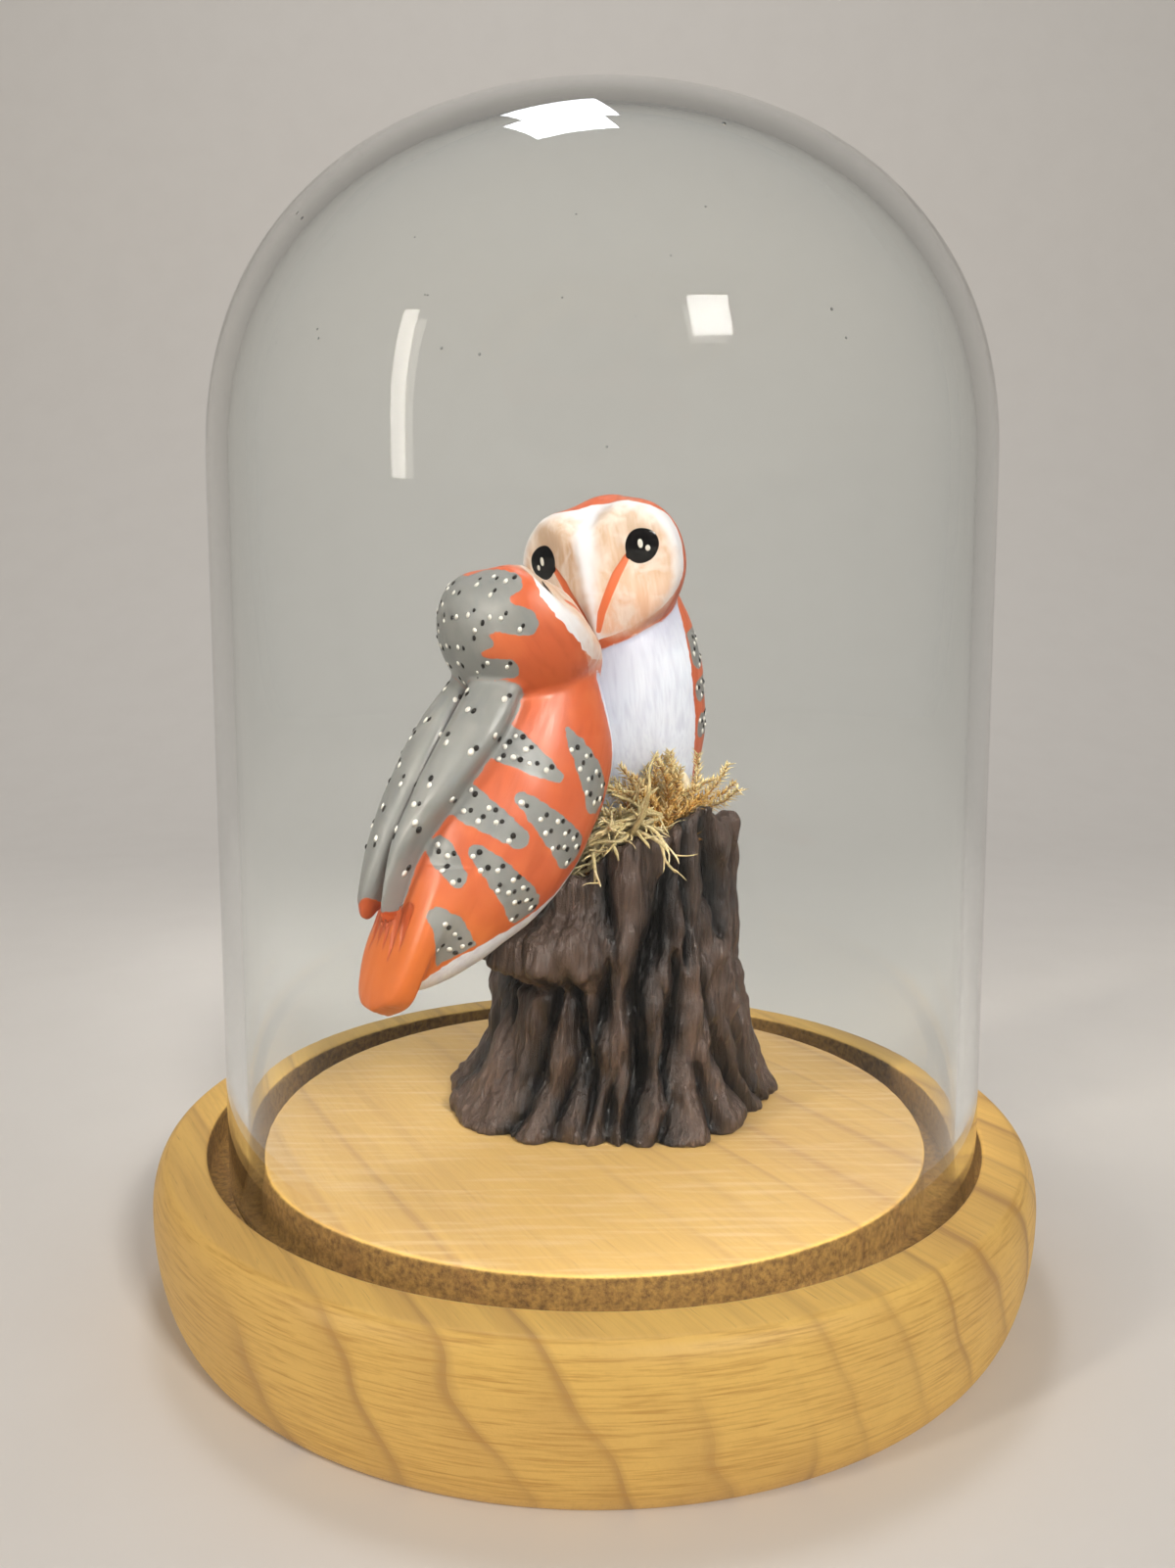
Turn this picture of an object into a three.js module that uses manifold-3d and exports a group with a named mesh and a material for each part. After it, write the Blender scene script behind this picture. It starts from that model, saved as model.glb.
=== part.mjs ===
// Two small clay barn owls, bill to bill on a clay tree stump, kept under a glass dome
// on a turned wooden base. Millimetres, +Z up, origin under the middle of the base.
// The owls' heads meet over the stump: owl A leans in from the left, owl B sits upright behind it.

import * as THREE from 'three';
import { mergeVertices } from 'three/addons/utils/BufferGeometryUtils.js';
import Module from 'manifold-3d';

const wasm = await Module();
wasm.setup();

// ---------------------------------------------------------------- driving dimensions

const GAP = 0.35; // clearance kept between touching pieces

// Wooden base: a disc with a rounded edge and a groove for the glass.
const BASE_HEIGHT = 22;
const BASE_RADIUS = 70;
const BASE_NOSE_HEIGHT = 15.6; // where the rounded edge is widest
const BASE_TOP_RADIUS = 67.1;
const BASE_FOOT_RADIUS = 64.8;
const DISC_RADIUS = 53.7; // inner edge of the groove
const RIM_INNER_RADIUS = 61.9; // outer edge of the groove
const GROOVE_DEPTH = 6;
const BASE_SEGMENTS = 46;

// Glass dome: a straight tube with a blown cap, standing in the groove.
const DOME_RADIUS = 60;
const DOME_WALL = 3;
const DOME_TUBE_TOP = 123.5;
const DOME_CAP_RISE = 53.4;
const DOME_CAP_ROUNDNESS = 0.877; // 1 is an ellipse, less is fuller
const DOME_SHIFT_X = 1.2; // it stands a little off the middle of its groove
const DOME_SEGMENTS = 38;
const DOME_CAP_STEPS = 6;

// Stump: oval foot, narrow waist, top that falls away to the left and the back.
const STUMP_FOOT_CENTRE = new THREE.Vector2(2.6, 7);
const STUMP_FOOT = new THREE.Vector2(29.9, 26.4); // half-sizes of the oval foot
const STUMP_CENTRE = new THREE.Vector2(4.2, 7); // of the waist and the top
const STUMP_WAIST = new THREE.Vector2(22.1, 21.2);
const STUMP_FLARE_HEIGHT = 8.2;
const STUMP_TAPER = 0.05; // how the top half narrows with height
const STUMP_TOP = 48; // height over the disc
const STUMP_LEFT_EDGE = 5.5; // the top starts to fall left of this
const STUMP_LEFT_SLOPE = 0.84;
const STUMP_BACK_EDGE = 17;
const STUMP_BACK_SLOPE = 0.6;
const STUMP_HOLLOW = 1.6; // how far the top lies below its rim
const BURL = { bearing: 226, spread: 30, height: 28.5, reach: 6.4, thickness: 5.2 };
const STUMP_TEETH = 2.2; // height of the ragged bark along the rim
const STUMP_PEAK = { bearing: -50, rise: 3 }; // the rim stands highest at the front right
const STUMP_SEGMENTS = 46;
const STUMP_ROWS = 9;

// Owl, in its own frame: x to its right, y forward, z up the body from the seat.
const HEAD = {
  ridge: 9.3, // how far the ridge of the face stands in front of the head's middle
  faceSlant: 23, // degrees that each half of the face turns away from the ridge
  lobe: new THREE.Vector3(9.4, 9.6, 11), // half-sizes of the two tilted lobes behind the face
  lobeMiddle: new THREE.Vector3(4.4, 0.6, 0), // of the right-hand one
  lobeTilt: 22.5,
  crown: new THREE.Vector3(11.3, 8.9, 12.1), // half-sizes of the back of the head
  crownMiddle: new THREE.Vector3(0, -3.8, 0.3),
  chin: new THREE.Vector3(6.5, 6, 7.6), // half-sizes of the pointed lower end of the face
  chinMiddle: new THREE.Vector3(0, 2.6, -6.2),
  blend: 2.6,
};
const DISH = { depth: 1.2, halfWidth: 4.2, halfHeight: 6.5 }; // shallow hollow round each eye
const EYE = { across: 5.6, thickness: 1.8, fromRidge: 9.3, height: 2.9 };
const TRUNK_BOTTOM = -9;
const TRUNK_HALF_WIDTH = [[-9, 6.5], [0, 10.4], [12, 13.2], [24, 14], [34, 13.2], [44, 11], [58, 9]];
const TRUNK_HALF_DEPTH = [[-9, 6], [0, 9.4], [12, 12.9], [24, 13.9], [34, 12.9], [44, 10.4], [58, 8]];
const TRUNK_CENTRE = [[-9, -6.2], [0, -4], [12, -1.7], [24, -0.6], [34, -0.3], [44, 0], [58, 0]];
const NECK_START = 33; // the neck bends between these heights
const NECK_END = 58;
const WING = { tip: -1.5, shoulder: 43, thickness: 5.6 };
const WING_HALF_WIDTH = [[-1.5, 2], [8, 3], [18, 4.4], [30, 5.5], [43, 5.2]];
const WING_LIFT = [[-1.5, 3.7], [8, 2.1], [20, 1.2], [43, 0.6]]; // its middle, off the back
const TAIL = { end: -14.5, root: 12, thickness: 5 };
const TAIL_HALF_WIDTH = [[-14.5, 6], [-6, 6.9], [12, 6.5]];

// Where each owl and head is: middle point, then heading, pitch and roll in degrees.
// Heights are over the disc. Heading 0 faces +X, pitch lifts the face, roll tips it to its right.
const OWL_A = {
  name: 'owl_a',
  seat: new THREE.Vector3(-20.4, -15.5, 32),
  turn: [34, -24, 0],
  headMiddle: new THREE.Vector3(-10.6, -10.2, 79.2),
  headTurn: [27, 39, 0],
  top: 54, // of the trunk, inside the head
  neckShift: -6.5,
  tailCentre: [[-14.5, -8.6], [-6, -9.8], [12, -9.8]],
};
const OWL_B = {
  name: 'owl_b',
  seat: new THREE.Vector3(8.6, 12.2, 46.5),
  turn: [-64, 4, 6],
  headMiddle: new THREE.Vector3(1.9, 5.7, 89.3),
  headTurn: [-112.3, -6.7, 7.3],
  top: 49,
  neckShift: 1.5,
  tailCentre: [[-14.5, -24], [-6, -17], [12, -9.5]],
};
const FOOT = { halfWidth: 1.1, halfLength: 2.4, height: 7.5, spacing: 5.1, forward: 11, above: 7.5 };

// ---------------------------------------------------------------- helpers

const radians = THREE.MathUtils.degToRad;

// Smooth curve through a few [place, value] stations.
function along(stations, place) {
  let i = 0;
  while (i < stations.length - 2 && place > stations[i + 1][0]) i += 1;
  const last = stations.length - 1;
  const slope = (a, b) => (stations[b][1] - stations[a][1]) / (stations[b][0] - stations[a][0]);
  const span = stations[i + 1][0] - stations[i][0];
  const t = THREE.MathUtils.clamp((place - stations[i][0]) / span, 0, 1);
  const start = slope(Math.max(i - 1, 0), i + 1) * span;
  const end = slope(i, Math.min(i + 2, last)) * span;
  const rise = stations[i + 1][1] - stations[i][1];
  return stations[i][1] + t * start + t * t * (3 * rise - 2 * start - end)
    + t * t * t * (start + end - 2 * rise);
}

// Rounded minimum and maximum of two lengths.
function softMin(a, b, blend) {
  const h = Math.max(blend - Math.abs(a - b), 0) / blend;
  return Math.min(a, b) - (h * h * blend) / 4;
}

function softMax(a, b, blend) {
  return -softMin(-a, -b, blend);
}

// Rounds off both ends of a body that runs from -1 to 1.
function endRounding(u, power) {
  return Math.max(1 - Math.abs(u) ** power, 0) ** (1 / power);
}

// A sphere whose points are moved to place(unit direction).
function shapedSphere(around, rows, place, pole = 'z') {
  const geometry = new THREE.SphereGeometry(1, around, rows);
  if (pole === 'z') geometry.rotateX(Math.PI / 2);
  const position = geometry.attributes.position;
  const direction = new THREE.Vector3();
  for (let i = 0; i < position.count; i += 1) {
    direction.fromBufferAttribute(position, i);
    const moved = place(direction);
    position.setXYZ(i, moved.x, moved.y, moved.z);
  }
  return geometry;
}

// Turned shape: the profile's x is the radius and its y is the height.
function turned(profile, segments) {
  const geometry = new THREE.LatheGeometry(profile, segments);
  geometry.rotateX(Math.PI / 2);
  return geometry;
}

// Quarter of an ellipse, from angle a to angle b in degrees.
function arc(centreX, centreY, radiusX, radiusY, a, b, steps) {
  const points = [];
  for (let i = 0; i <= steps; i += 1) {
    const angle = radians(a + ((b - a) * i) / steps);
    points.push(new THREE.Vector2(
      centreX + radiusX * Math.cos(angle),
      centreY + radiusY * Math.sin(angle),
    ));
  }
  return points;
}

// Matrix that turns a local shape (x right, y forward, z up) to a heading, pitch and roll.
function poseMatrix(origin, [heading, pitch, roll]) {
  const flat = new THREE.Vector3(Math.cos(radians(heading)), Math.sin(radians(heading)), 0);
  const right = new THREE.Vector3(flat.y, -flat.x, 0);
  const up = new THREE.Vector3(0, 0, 1);
  const forward = flat.clone().multiplyScalar(Math.cos(radians(pitch)))
    .addScaledVector(up, Math.sin(radians(pitch)));
  const lifted = up.clone().multiplyScalar(Math.cos(radians(pitch)))
    .addScaledVector(flat, -Math.sin(radians(pitch)));
  const tippedUp = lifted.clone().multiplyScalar(Math.cos(radians(roll)))
    .addScaledVector(right, Math.sin(radians(roll)));
  const tippedRight = right.clone().multiplyScalar(Math.cos(radians(roll)))
    .addScaledVector(lifted, -Math.sin(radians(roll)));
  return new THREE.Matrix4().makeBasis(tippedRight, forward, tippedUp)
    .setPosition(origin.x, origin.y, origin.z + BASE_HEIGHT);
}

// Bare closed surface with shared points, its faces pointing out.
function bare(geometry) {
  geometry.deleteAttribute('normal');
  geometry.deleteAttribute('uv');
  const merged = mergeVertices(geometry, 1e-3);
  const source = merged.index.array;
  const kept = [];
  let volume = 0;
  const a = new THREE.Vector3();
  const b = new THREE.Vector3();
  const c = new THREE.Vector3();
  for (let i = 0; i < source.length; i += 3) {
    const [p, q, r] = [source[i], source[i + 1], source[i + 2]];
    if (p === q || q === r || r === p) continue;
    kept.push(p, q, r);
    a.fromBufferAttribute(merged.attributes.position, p);
    b.fromBufferAttribute(merged.attributes.position, q);
    c.fromBufferAttribute(merged.attributes.position, r);
    volume += a.dot(b.cross(c));
  }
  if (volume < 0) kept.reverse();
  merged.setIndex(kept);
  return merged;
}

// Solid for cutting and joining, grown outwards by some millimetres.
function solid(geometry, growth = 0) {
  const clean = bare(geometry.clone());
  if (growth > 0) {
    clean.computeVertexNormals();
    const position = clean.attributes.position;
    const normal = clean.attributes.normal;
    for (let i = 0; i < position.count; i += 1) {
      position.setXYZ(
        i,
        position.getX(i) + growth * normal.getX(i),
        position.getY(i) + growth * normal.getY(i),
        position.getZ(i) + growth * normal.getZ(i),
      );
    }
  }
  const mesh = new wasm.Mesh({
    numProp: 3,
    vertProperties: new Float32Array(clean.attributes.position.array),
    triVerts: new Uint32Array(clean.index.array),
  });
  mesh.merge();
  return new wasm.Manifold(mesh);
}

// Largest body of a cut solid, as a geometry.
function geometryOf(manifold) {
  const bodies = manifold.decompose();
  bodies.sort((a, b) => b.volume() - a.volume());
  const mesh = bodies[0].getMesh();
  const geometry = new THREE.BufferGeometry();
  geometry.setAttribute('position', new THREE.Float32BufferAttribute(mesh.vertProperties, 3));
  geometry.setIndex(Array.from(mesh.triVerts));
  return geometry;
}

// ---------------------------------------------------------------- base and dome

function woodBase() {
  const noseDrop = BASE_HEIGHT - BASE_NOSE_HEIGHT;
  const floor = BASE_HEIGHT - GROOVE_DEPTH;
  const profile = [
    new THREE.Vector2(0, 0),
    ...arc(BASE_FOOT_RADIUS, BASE_NOSE_HEIGHT, BASE_RADIUS - BASE_FOOT_RADIUS, BASE_NOSE_HEIGHT, -90, 0, 5),
    ...arc(BASE_TOP_RADIUS, BASE_NOSE_HEIGHT, BASE_RADIUS - BASE_TOP_RADIUS, noseDrop, 0, 90, 3).slice(1),
    new THREE.Vector2(RIM_INNER_RADIUS, BASE_HEIGHT),
    new THREE.Vector2(RIM_INNER_RADIUS, floor),
    new THREE.Vector2(DISC_RADIUS, floor),
    new THREE.Vector2(DISC_RADIUS, BASE_HEIGHT),
    new THREE.Vector2(0, BASE_HEIGHT),
  ];
  return bare(turned(profile, BASE_SEGMENTS));
}

// Quarter profile of the cap for a wall surface of the given radius and rise.
function domeCap(radius, rise, steps) {
  const points = [];
  for (let i = 0; i <= steps; i += 1) {
    const angle = (Math.PI / 2) * (i / steps);
    points.push(new THREE.Vector2(
      radius * Math.max(Math.cos(angle), 0) ** DOME_CAP_ROUNDNESS,
      DOME_TUBE_TOP + rise * Math.sin(angle) ** DOME_CAP_ROUNDNESS,
    ));
  }
  points[steps].x = 0;
  return points;
}

function glassDome() {
  const foot = BASE_HEIGHT - GROOVE_DEPTH + GAP;
  const inner = DOME_RADIUS - DOME_WALL;
  const middle = DOME_RADIUS - DOME_WALL / 2;
  const profile = [
    ...domeCap(inner, DOME_CAP_RISE - DOME_WALL, DOME_CAP_STEPS).reverse(),
    new THREE.Vector2(inner, foot + DOME_WALL / 3),
    new THREE.Vector2(middle, foot),
    new THREE.Vector2(DOME_RADIUS, foot + DOME_WALL / 3),
    ...domeCap(DOME_RADIUS, DOME_CAP_RISE, DOME_CAP_STEPS),
  ];
  const geometry = turned(profile, DOME_SEGMENTS);
  geometry.translate(DOME_SHIFT_X, 0, 0);
  return bare(geometry);
}

// ---------------------------------------------------------------- stump

// Height of the stump's top over the disc.
function stumpTop(x, y) {
  const left = STUMP_LEFT_SLOPE * softMax(STUMP_LEFT_EDGE - x, 0, 8);
  const back = STUMP_BACK_SLOPE * softMax(y - STUMP_BACK_EDGE, 0, 6);
  return STUMP_TOP - left - back;
}

// Long grooves of the bark: 0 on the ribs, 1 in the bottom of a groove.
function bark(angle, height) {
  const sway = 0.13 * Math.sin(height * 0.17 + angle * 3);
  const broad = Math.abs(Math.sin((angle + sway) * 4.5 + 0.6));
  const fine = Math.abs(Math.sin((angle - sway) * 8 + 1.1));
  return 1 - 0.68 * broad - 0.32 * fine;
}

// Distance of the stump's side from its axis.
function stumpReach(angle, height) {
  const cos = Math.cos(angle);
  const sin = Math.sin(angle);
  const oval = (half) => 1 / Math.hypot(cos / half.x, sin / half.y);
  const flare = Math.exp(-height / STUMP_FLARE_HEIGHT);
  const lobes = 1 + 0.05 * Math.sin(angle * 5 + 0.9) * flare;
  let reach = (oval(STUMP_WAIST) + (oval(STUMP_FOOT) - oval(STUMP_WAIST)) * flare) * lobes;
  reach -= (1.1 + 1.2 * (1 - flare)) * bark(angle, height) + STUMP_TAPER * Math.max(height - 20, 0);
  const bearing = THREE.MathUtils.euclideanModulo(angle - radians(BURL.bearing) + Math.PI, 2 * Math.PI)
    - Math.PI;
  const around = Math.exp(-((bearing / radians(BURL.spread)) ** 2));
  const level = (height - BURL.height) / BURL.thickness;
  return reach + BURL.reach * around * Math.exp(-(level ** 4));
}

// Height of the rim over the disc at an angle, with the bark standing up in teeth.
function stumpRim(angle) {
  const x = STUMP_CENTRE.x + STUMP_WAIST.x * Math.cos(angle);
  const y = STUMP_CENTRE.y + STUMP_WAIST.y * Math.sin(angle);
  const frontRight = Math.max(Math.cos(angle - radians(STUMP_PEAK.bearing)), 0);
  return stumpTop(x, y) + STUMP_TEETH * (0.5 - bark(angle, STUMP_TOP)) + STUMP_PEAK.rise * frontRight ** 3;
}

function stump() {
  const rings = [[0, 0], [0, 0.6]];
  for (let i = 0; i <= STUMP_ROWS; i += 1) rings.push([(i / STUMP_ROWS) ** 1.15, 1]);
  rings.push([1, 0.84], [1, 0.45], [1, 0]);
  const profile = rings.map(([level, out]) => new THREE.Vector2(out * 10, level * 10));
  profile[profile.length - 1].y += 1;
  const geometry = turned(profile, STUMP_SEGMENTS);
  const position = geometry.attributes.position;
  for (let i = 0; i < position.count; i += 1) {
    const ring = rings[i % rings.length];
    const angle = Math.atan2(position.getY(i), position.getX(i));
    const rim = stumpRim(angle);
    const height = ring[0] * rim;
    const reach = ring[1] * stumpReach(angle, height);
    const flare = Math.exp(-height / STUMP_FLARE_HEIGHT);
    const middle = STUMP_CENTRE.clone().lerp(STUMP_FOOT_CENTRE, flare);
    const x = middle.x + reach * Math.cos(angle);
    const y = middle.y + reach * Math.sin(angle);
    const onTop = ring[0] === 1 && ring[1] < 1;
    const z = onTop ? stumpTop(x, y) - STUMP_HOLLOW : height;
    position.setXYZ(i, x, y, z + BASE_HEIGHT + GAP);
  }
  return geometry;
}

// Cushion of dry moss on the stump, round the feet of owl B and down over the front edge.
function moss() {
  return shapedSphere(16, 5, (direction) => {
    const x = 5.5 + 16.5 * direction.x;
    const y = 3 + 17 * direction.y;
    const bottom = stumpTop(x, y) - 3;
    const lumps = 0.8 * Math.sin(x * 0.9) * Math.cos(y * 0.8);
    const thickness = 7.2 + lumps;
    return new THREE.Vector3(x, y, bottom + thickness * (0.5 + 0.5 * direction.z) + BASE_HEIGHT);
  });
}

// ---------------------------------------------------------------- owl

// Distance from the head's middle to the surface of an ellipsoid round it, along a direction.
// The ellipsoid's top is tilted towards +X by some degrees.
function ellipsoidReach(direction, middle, half, tiltDegrees = 0) {
  const tilt = radians(tiltDegrees);
  const turnedBack = (v) => new THREE.Vector3(
    (v.x * Math.cos(tilt) - v.z * Math.sin(tilt)) / half.x,
    v.y / half.y,
    (v.x * Math.sin(tilt) + v.z * Math.cos(tilt)) / half.z,
  );
  const d = turnedBack(direction);
  const c = turnedBack(middle);
  const spread = d.dot(d);
  const toward = d.dot(c);
  return (toward + Math.sqrt(toward * toward - spread * (c.dot(c) - 1))) / spread;
}

function lobeReach(direction, side) {
  const middle = HEAD.lobeMiddle.clone().setX(side * HEAD.lobeMiddle.x);
  return ellipsoidReach(direction, middle, HEAD.lobe, side * HEAD.lobeTilt);
}

// Distance to the flat half of the face on one side.
function faceReach(direction, side) {
  const slant = radians(HEAD.faceSlant);
  const facing = side * Math.sin(slant) * direction.x + Math.cos(slant) * direction.y;
  return facing > 0.02 ? (HEAD.ridge * Math.cos(slant)) / facing : 1e3;
}

// Surface point of the head in a direction from its middle.
function headPoint(direction) {
  let reach = softMax(lobeReach(direction, -1), lobeReach(direction, 1), HEAD.blend);
  reach = softMax(reach, ellipsoidReach(direction, HEAD.crownMiddle, HEAD.crown), HEAD.blend);
  reach = softMax(reach, ellipsoidReach(direction, HEAD.chinMiddle, HEAD.chin), HEAD.blend);
  const face = softMin(faceReach(direction, -1), faceReach(direction, 1), HEAD.blend / 3);
  reach = softMin(reach, face, HEAD.blend);
  const point = direction.clone().multiplyScalar(reach);
  const fromEyeX = (Math.abs(point.x) - EYE.fromRidge * Math.cos(radians(HEAD.faceSlant))) / DISH.halfWidth;
  const fromEyeZ = (point.z - EYE.height) / DISH.halfHeight;
  if (point.y > 0) point.y -= DISH.depth * Math.exp(-(fromEyeX ** 2) - fromEyeZ ** 2);
  return point;
}

// Point on the trunk's side, lifted off it by some millimetres. Azimuth 0 is the breast.
function trunkPoint(owl, height, azimuth, lift = 0) {
  const middle = (owl.top + TRUNK_BOTTOM) / 2;
  const half = (owl.top - TRUNK_BOTTOM) / 2;
  const rounding = endRounding(THREE.MathUtils.clamp((height - middle) / half, -1, 1), 3);
  const neck = THREE.MathUtils.smoothstep(height, NECK_START, NECK_END);
  return new THREE.Vector3(
    (along(TRUNK_HALF_WIDTH, height) * rounding + lift) * Math.sin(azimuth),
    along(TRUNK_CENTRE, height) + owl.neckShift * neck
      + (along(TRUNK_HALF_DEPTH, height) * rounding + lift) * Math.cos(azimuth),
    height,
  );
}

function trunk(owl) {
  const middle = (owl.top + TRUNK_BOTTOM) / 2;
  const half = (owl.top - TRUNK_BOTTOM) / 2;
  return shapedSphere(20, 13, (direction) => trunkPoint(
    owl,
    middle + half * direction.z,
    Math.atan2(direction.x, direction.y),
  ));
}

// A folded wing lies on the back beside the middle line. Side 1 is the owl's right.
function wing(owl, side) {
  const middle = (WING.shoulder + WING.tip) / 2;
  const half = (WING.shoulder - WING.tip) / 2;
  return shapedSphere(12, 10, (direction) => {
    const height = middle + half * direction.z;
    const rounding = endRounding(direction.z, 2.6);
    const bodyRadius = along(TRUNK_HALF_DEPTH, height) + 2;
    const halfWidth = along(WING_HALF_WIDTH, height);
    const spread = Math.hypot(direction.x, direction.y) || 1;
    const across = (direction.x / spread) * halfWidth * rounding;
    const out = (direction.y / spread) * (WING.thickness / 2) * rounding;
    const fromMiddle = (halfWidth + 0.45 + across) / bodyRadius;
    return trunkPoint(owl, height, Math.PI - side * fromMiddle, along(WING_LIFT, height) - out);
  });
}

function tail(owl) {
  const middle = (TAIL.root + TAIL.end) / 2;
  const half = (TAIL.root - TAIL.end) / 2;
  return shapedSphere(12, 8, (direction) => {
    const height = middle + half * direction.z;
    const rounding = endRounding(direction.z, 3.4);
    const spread = Math.hypot(direction.x, direction.y) || 1;
    return new THREE.Vector3(
      (direction.x / spread) * along(TAIL_HALF_WIDTH, height) * rounding,
      along(owl.tailCentre, height) + (direction.y / spread) * (TAIL.thickness / 2) * rounding,
      height,
    );
  });
}

// Shallow domed eye set into one half of the face.
function eye(side) {
  const slant = radians(HEAD.faceSlant);
  const aim = new THREE.Vector3(
    side * EYE.fromRidge * Math.cos(slant),
    HEAD.ridge - EYE.fromRidge * Math.sin(slant),
    EYE.height,
  ).normalize();
  const geometry = new THREE.SphereGeometry(1, 10, 6);
  geometry.scale(EYE.across / 2, EYE.thickness / 2, EYE.across / 2);
  geometry.rotateZ(-side * slant);
  const middle = headPoint(aim);
  geometry.translate(middle.x, middle.y, middle.z);
  return geometry;
}

function foot(side) {
  const geometry = new THREE.SphereGeometry(1, 10, 6);
  geometry.scale(FOOT.halfWidth, FOOT.halfLength, FOOT.height / 2);
  geometry.translate((side * FOOT.spacing) / 2, FOOT.forward, FOOT.above);
  return geometry;
}

function placed(geometry, matrix) {
  return geometry.clone().applyMatrix4(matrix);
}

// All shapes of one owl in the whole object's frame, not yet cut from each other.
function owlShapes(owl) {
  const body = poseMatrix(owl.seat, owl.turn);
  const head = poseMatrix(owl.headMiddle, owl.headTurn);
  return {
    trunk: placed(trunk(owl), body),
    head: placed(shapedSphere(22, 13, headPoint, 'y'), head),
    tail: placed(tail(owl), body),
    wing_left: placed(wing(owl, -1), body),
    wing_right: placed(wing(owl, 1), body),
    eye_left: placed(eye(-1), head),
    eye_right: placed(eye(1), head),
    body,
  };
}

// Cuts the shapes from each other, so that each piece is a solid of its own.
function owlPieces(shapes) {
  const grownHead = solid(shapes.head, GAP);
  const grownTrunk = solid(shapes.trunk, GAP);
  const cutHead = solid(shapes.head)
    .subtract(solid(shapes.eye_left, GAP / 2))
    .subtract(solid(shapes.eye_right, GAP / 2));
  const wings = ['wing_left', 'wing_right'].map((side) => (
    solid(shapes[side]).subtract(grownTrunk).subtract(grownHead)
  ));
  const cutTail = solid(shapes.tail).subtract(grownTrunk)
    .subtract(solid(shapes.wing_left, GAP)).subtract(solid(shapes.wing_right, GAP));
  return {
    head: cutHead,
    trunk: solid(shapes.trunk).subtract(grownHead),
    wing_left: wings[0],
    wing_right: wings[1],
    tail: cutTail,
    eye_left: solid(shapes.eye_left),
    eye_right: solid(shapes.eye_right),
  };
}

// ---------------------------------------------------------------- assembly

const FINISH = {
  wood: new THREE.MeshStandardMaterial({ color: 0xcfa769, roughness: 0.55, metalness: 0 }),
  glass: new THREE.MeshStandardMaterial({
    color: 0xeef4f2, roughness: 0.03, metalness: 0, transparent: true, opacity: 0.2,
  }),
  stumpClay: new THREE.MeshStandardMaterial({ color: 0x4a3a36, roughness: 0.5, metalness: 0 }),
  moss: new THREE.MeshStandardMaterial({ color: 0xb99a5e, roughness: 0.95, metalness: 0 }),
  white: new THREE.MeshStandardMaterial({ color: 0xefebe4, roughness: 0.5, metalness: 0 }),
  orange: new THREE.MeshStandardMaterial({ color: 0xc8603a, roughness: 0.45, metalness: 0 }),
  grey: new THREE.MeshStandardMaterial({ color: 0x9a9c9e, roughness: 0.45, metalness: 0 }),
  black: new THREE.MeshStandardMaterial({ color: 0x0a0909, roughness: 0.15, metalness: 0 }),
};
const PIECE_FINISH = {
  head: 'white',
  trunk: 'orange',
  wing_left: 'grey',
  wing_right: 'grey',
  tail: 'orange',
  eye_left: 'black',
  eye_right: 'black',
  foot_left: 'white',
  foot_right: 'white',
};

const model = new THREE.Group();

function addMesh(name, geometry, finish) {
  const mesh = new THREE.Mesh(geometry, FINISH[finish].clone());
  mesh.name = name;
  model.add(mesh);
}

const shapesA = owlShapes(OWL_A);
const shapesB = owlShapes(OWL_B);
const piecesA = owlPieces(shapesA);
const piecesB = owlPieces(shapesB);
const bodyNames = ['trunk', 'tail', 'wing_left', 'wing_right'];

// The stump gives way to owl A, and owl B is seated on the stump.
let stumpSolid = solid(stump());
for (const piece of bodyNames) stumpSolid = stumpSolid.subtract(solid(shapesA[piece], GAP));
const grownStump = solid(stump(), GAP);
for (const piece of bodyNames) piecesB[piece] = piecesB[piece].subtract(grownStump);
// Owl B gives way where owl A leans against it.
const grownA = ['head', ...bodyNames].map((piece) => solid(shapesA[piece], GAP));
for (const piece of ['head', ...bodyNames]) {
  for (const grown of grownA) piecesB[piece] = piecesB[piece].subtract(grown);
}
// Feet of owl B, toes showing under the breast.
const grownTrunkB = solid(shapesB.trunk, GAP);
const feet = {};
for (const [name, side] of [['foot_left', -1], ['foot_right', 1]]) {
  feet[name] = placed(foot(side), shapesB.body);
  piecesB[name] = solid(feet[name]).subtract(grownTrunkB).subtract(grownStump);
}
let mossSolid = solid(moss()).subtract(grownStump);
for (const shape of [...grownA, grownTrunkB, solid(shapesB.tail, GAP), solid(shapesB.wing_left, GAP),
  solid(shapesB.wing_right, GAP), solid(feet.foot_left, GAP), solid(feet.foot_right, GAP)]) {
  mossSolid = mossSolid.subtract(shape);
}

addMesh('wood_base', woodBase(), 'wood');
addMesh('glass_dome', glassDome(), 'glass');
addMesh('tree_stump', geometryOf(stumpSolid), 'stumpClay');
addMesh('moss_bed', geometryOf(mossSolid), 'moss');
for (const [owl, pieces] of [[OWL_A, piecesA], [OWL_B, piecesB]]) {
  for (const [piece, manifold] of Object.entries(pieces)) {
    addMesh(`${owl.name}_${piece}`, geometryOf(manifold), PIECE_FINISH[piece]);
  }
}

export default model;
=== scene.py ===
"""Two painted clay barn owls on a clay stump, under a glass dome on a turned wooden base.

Shapes are worked out in millimetres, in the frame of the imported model, and turned to metres
as each mesh is made. The owls and the stump are modelled as clay is: soft volumes pressed
together, whose surface is then meshed as one skin and painted by distance from each mark's edge.
"""

import math

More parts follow.
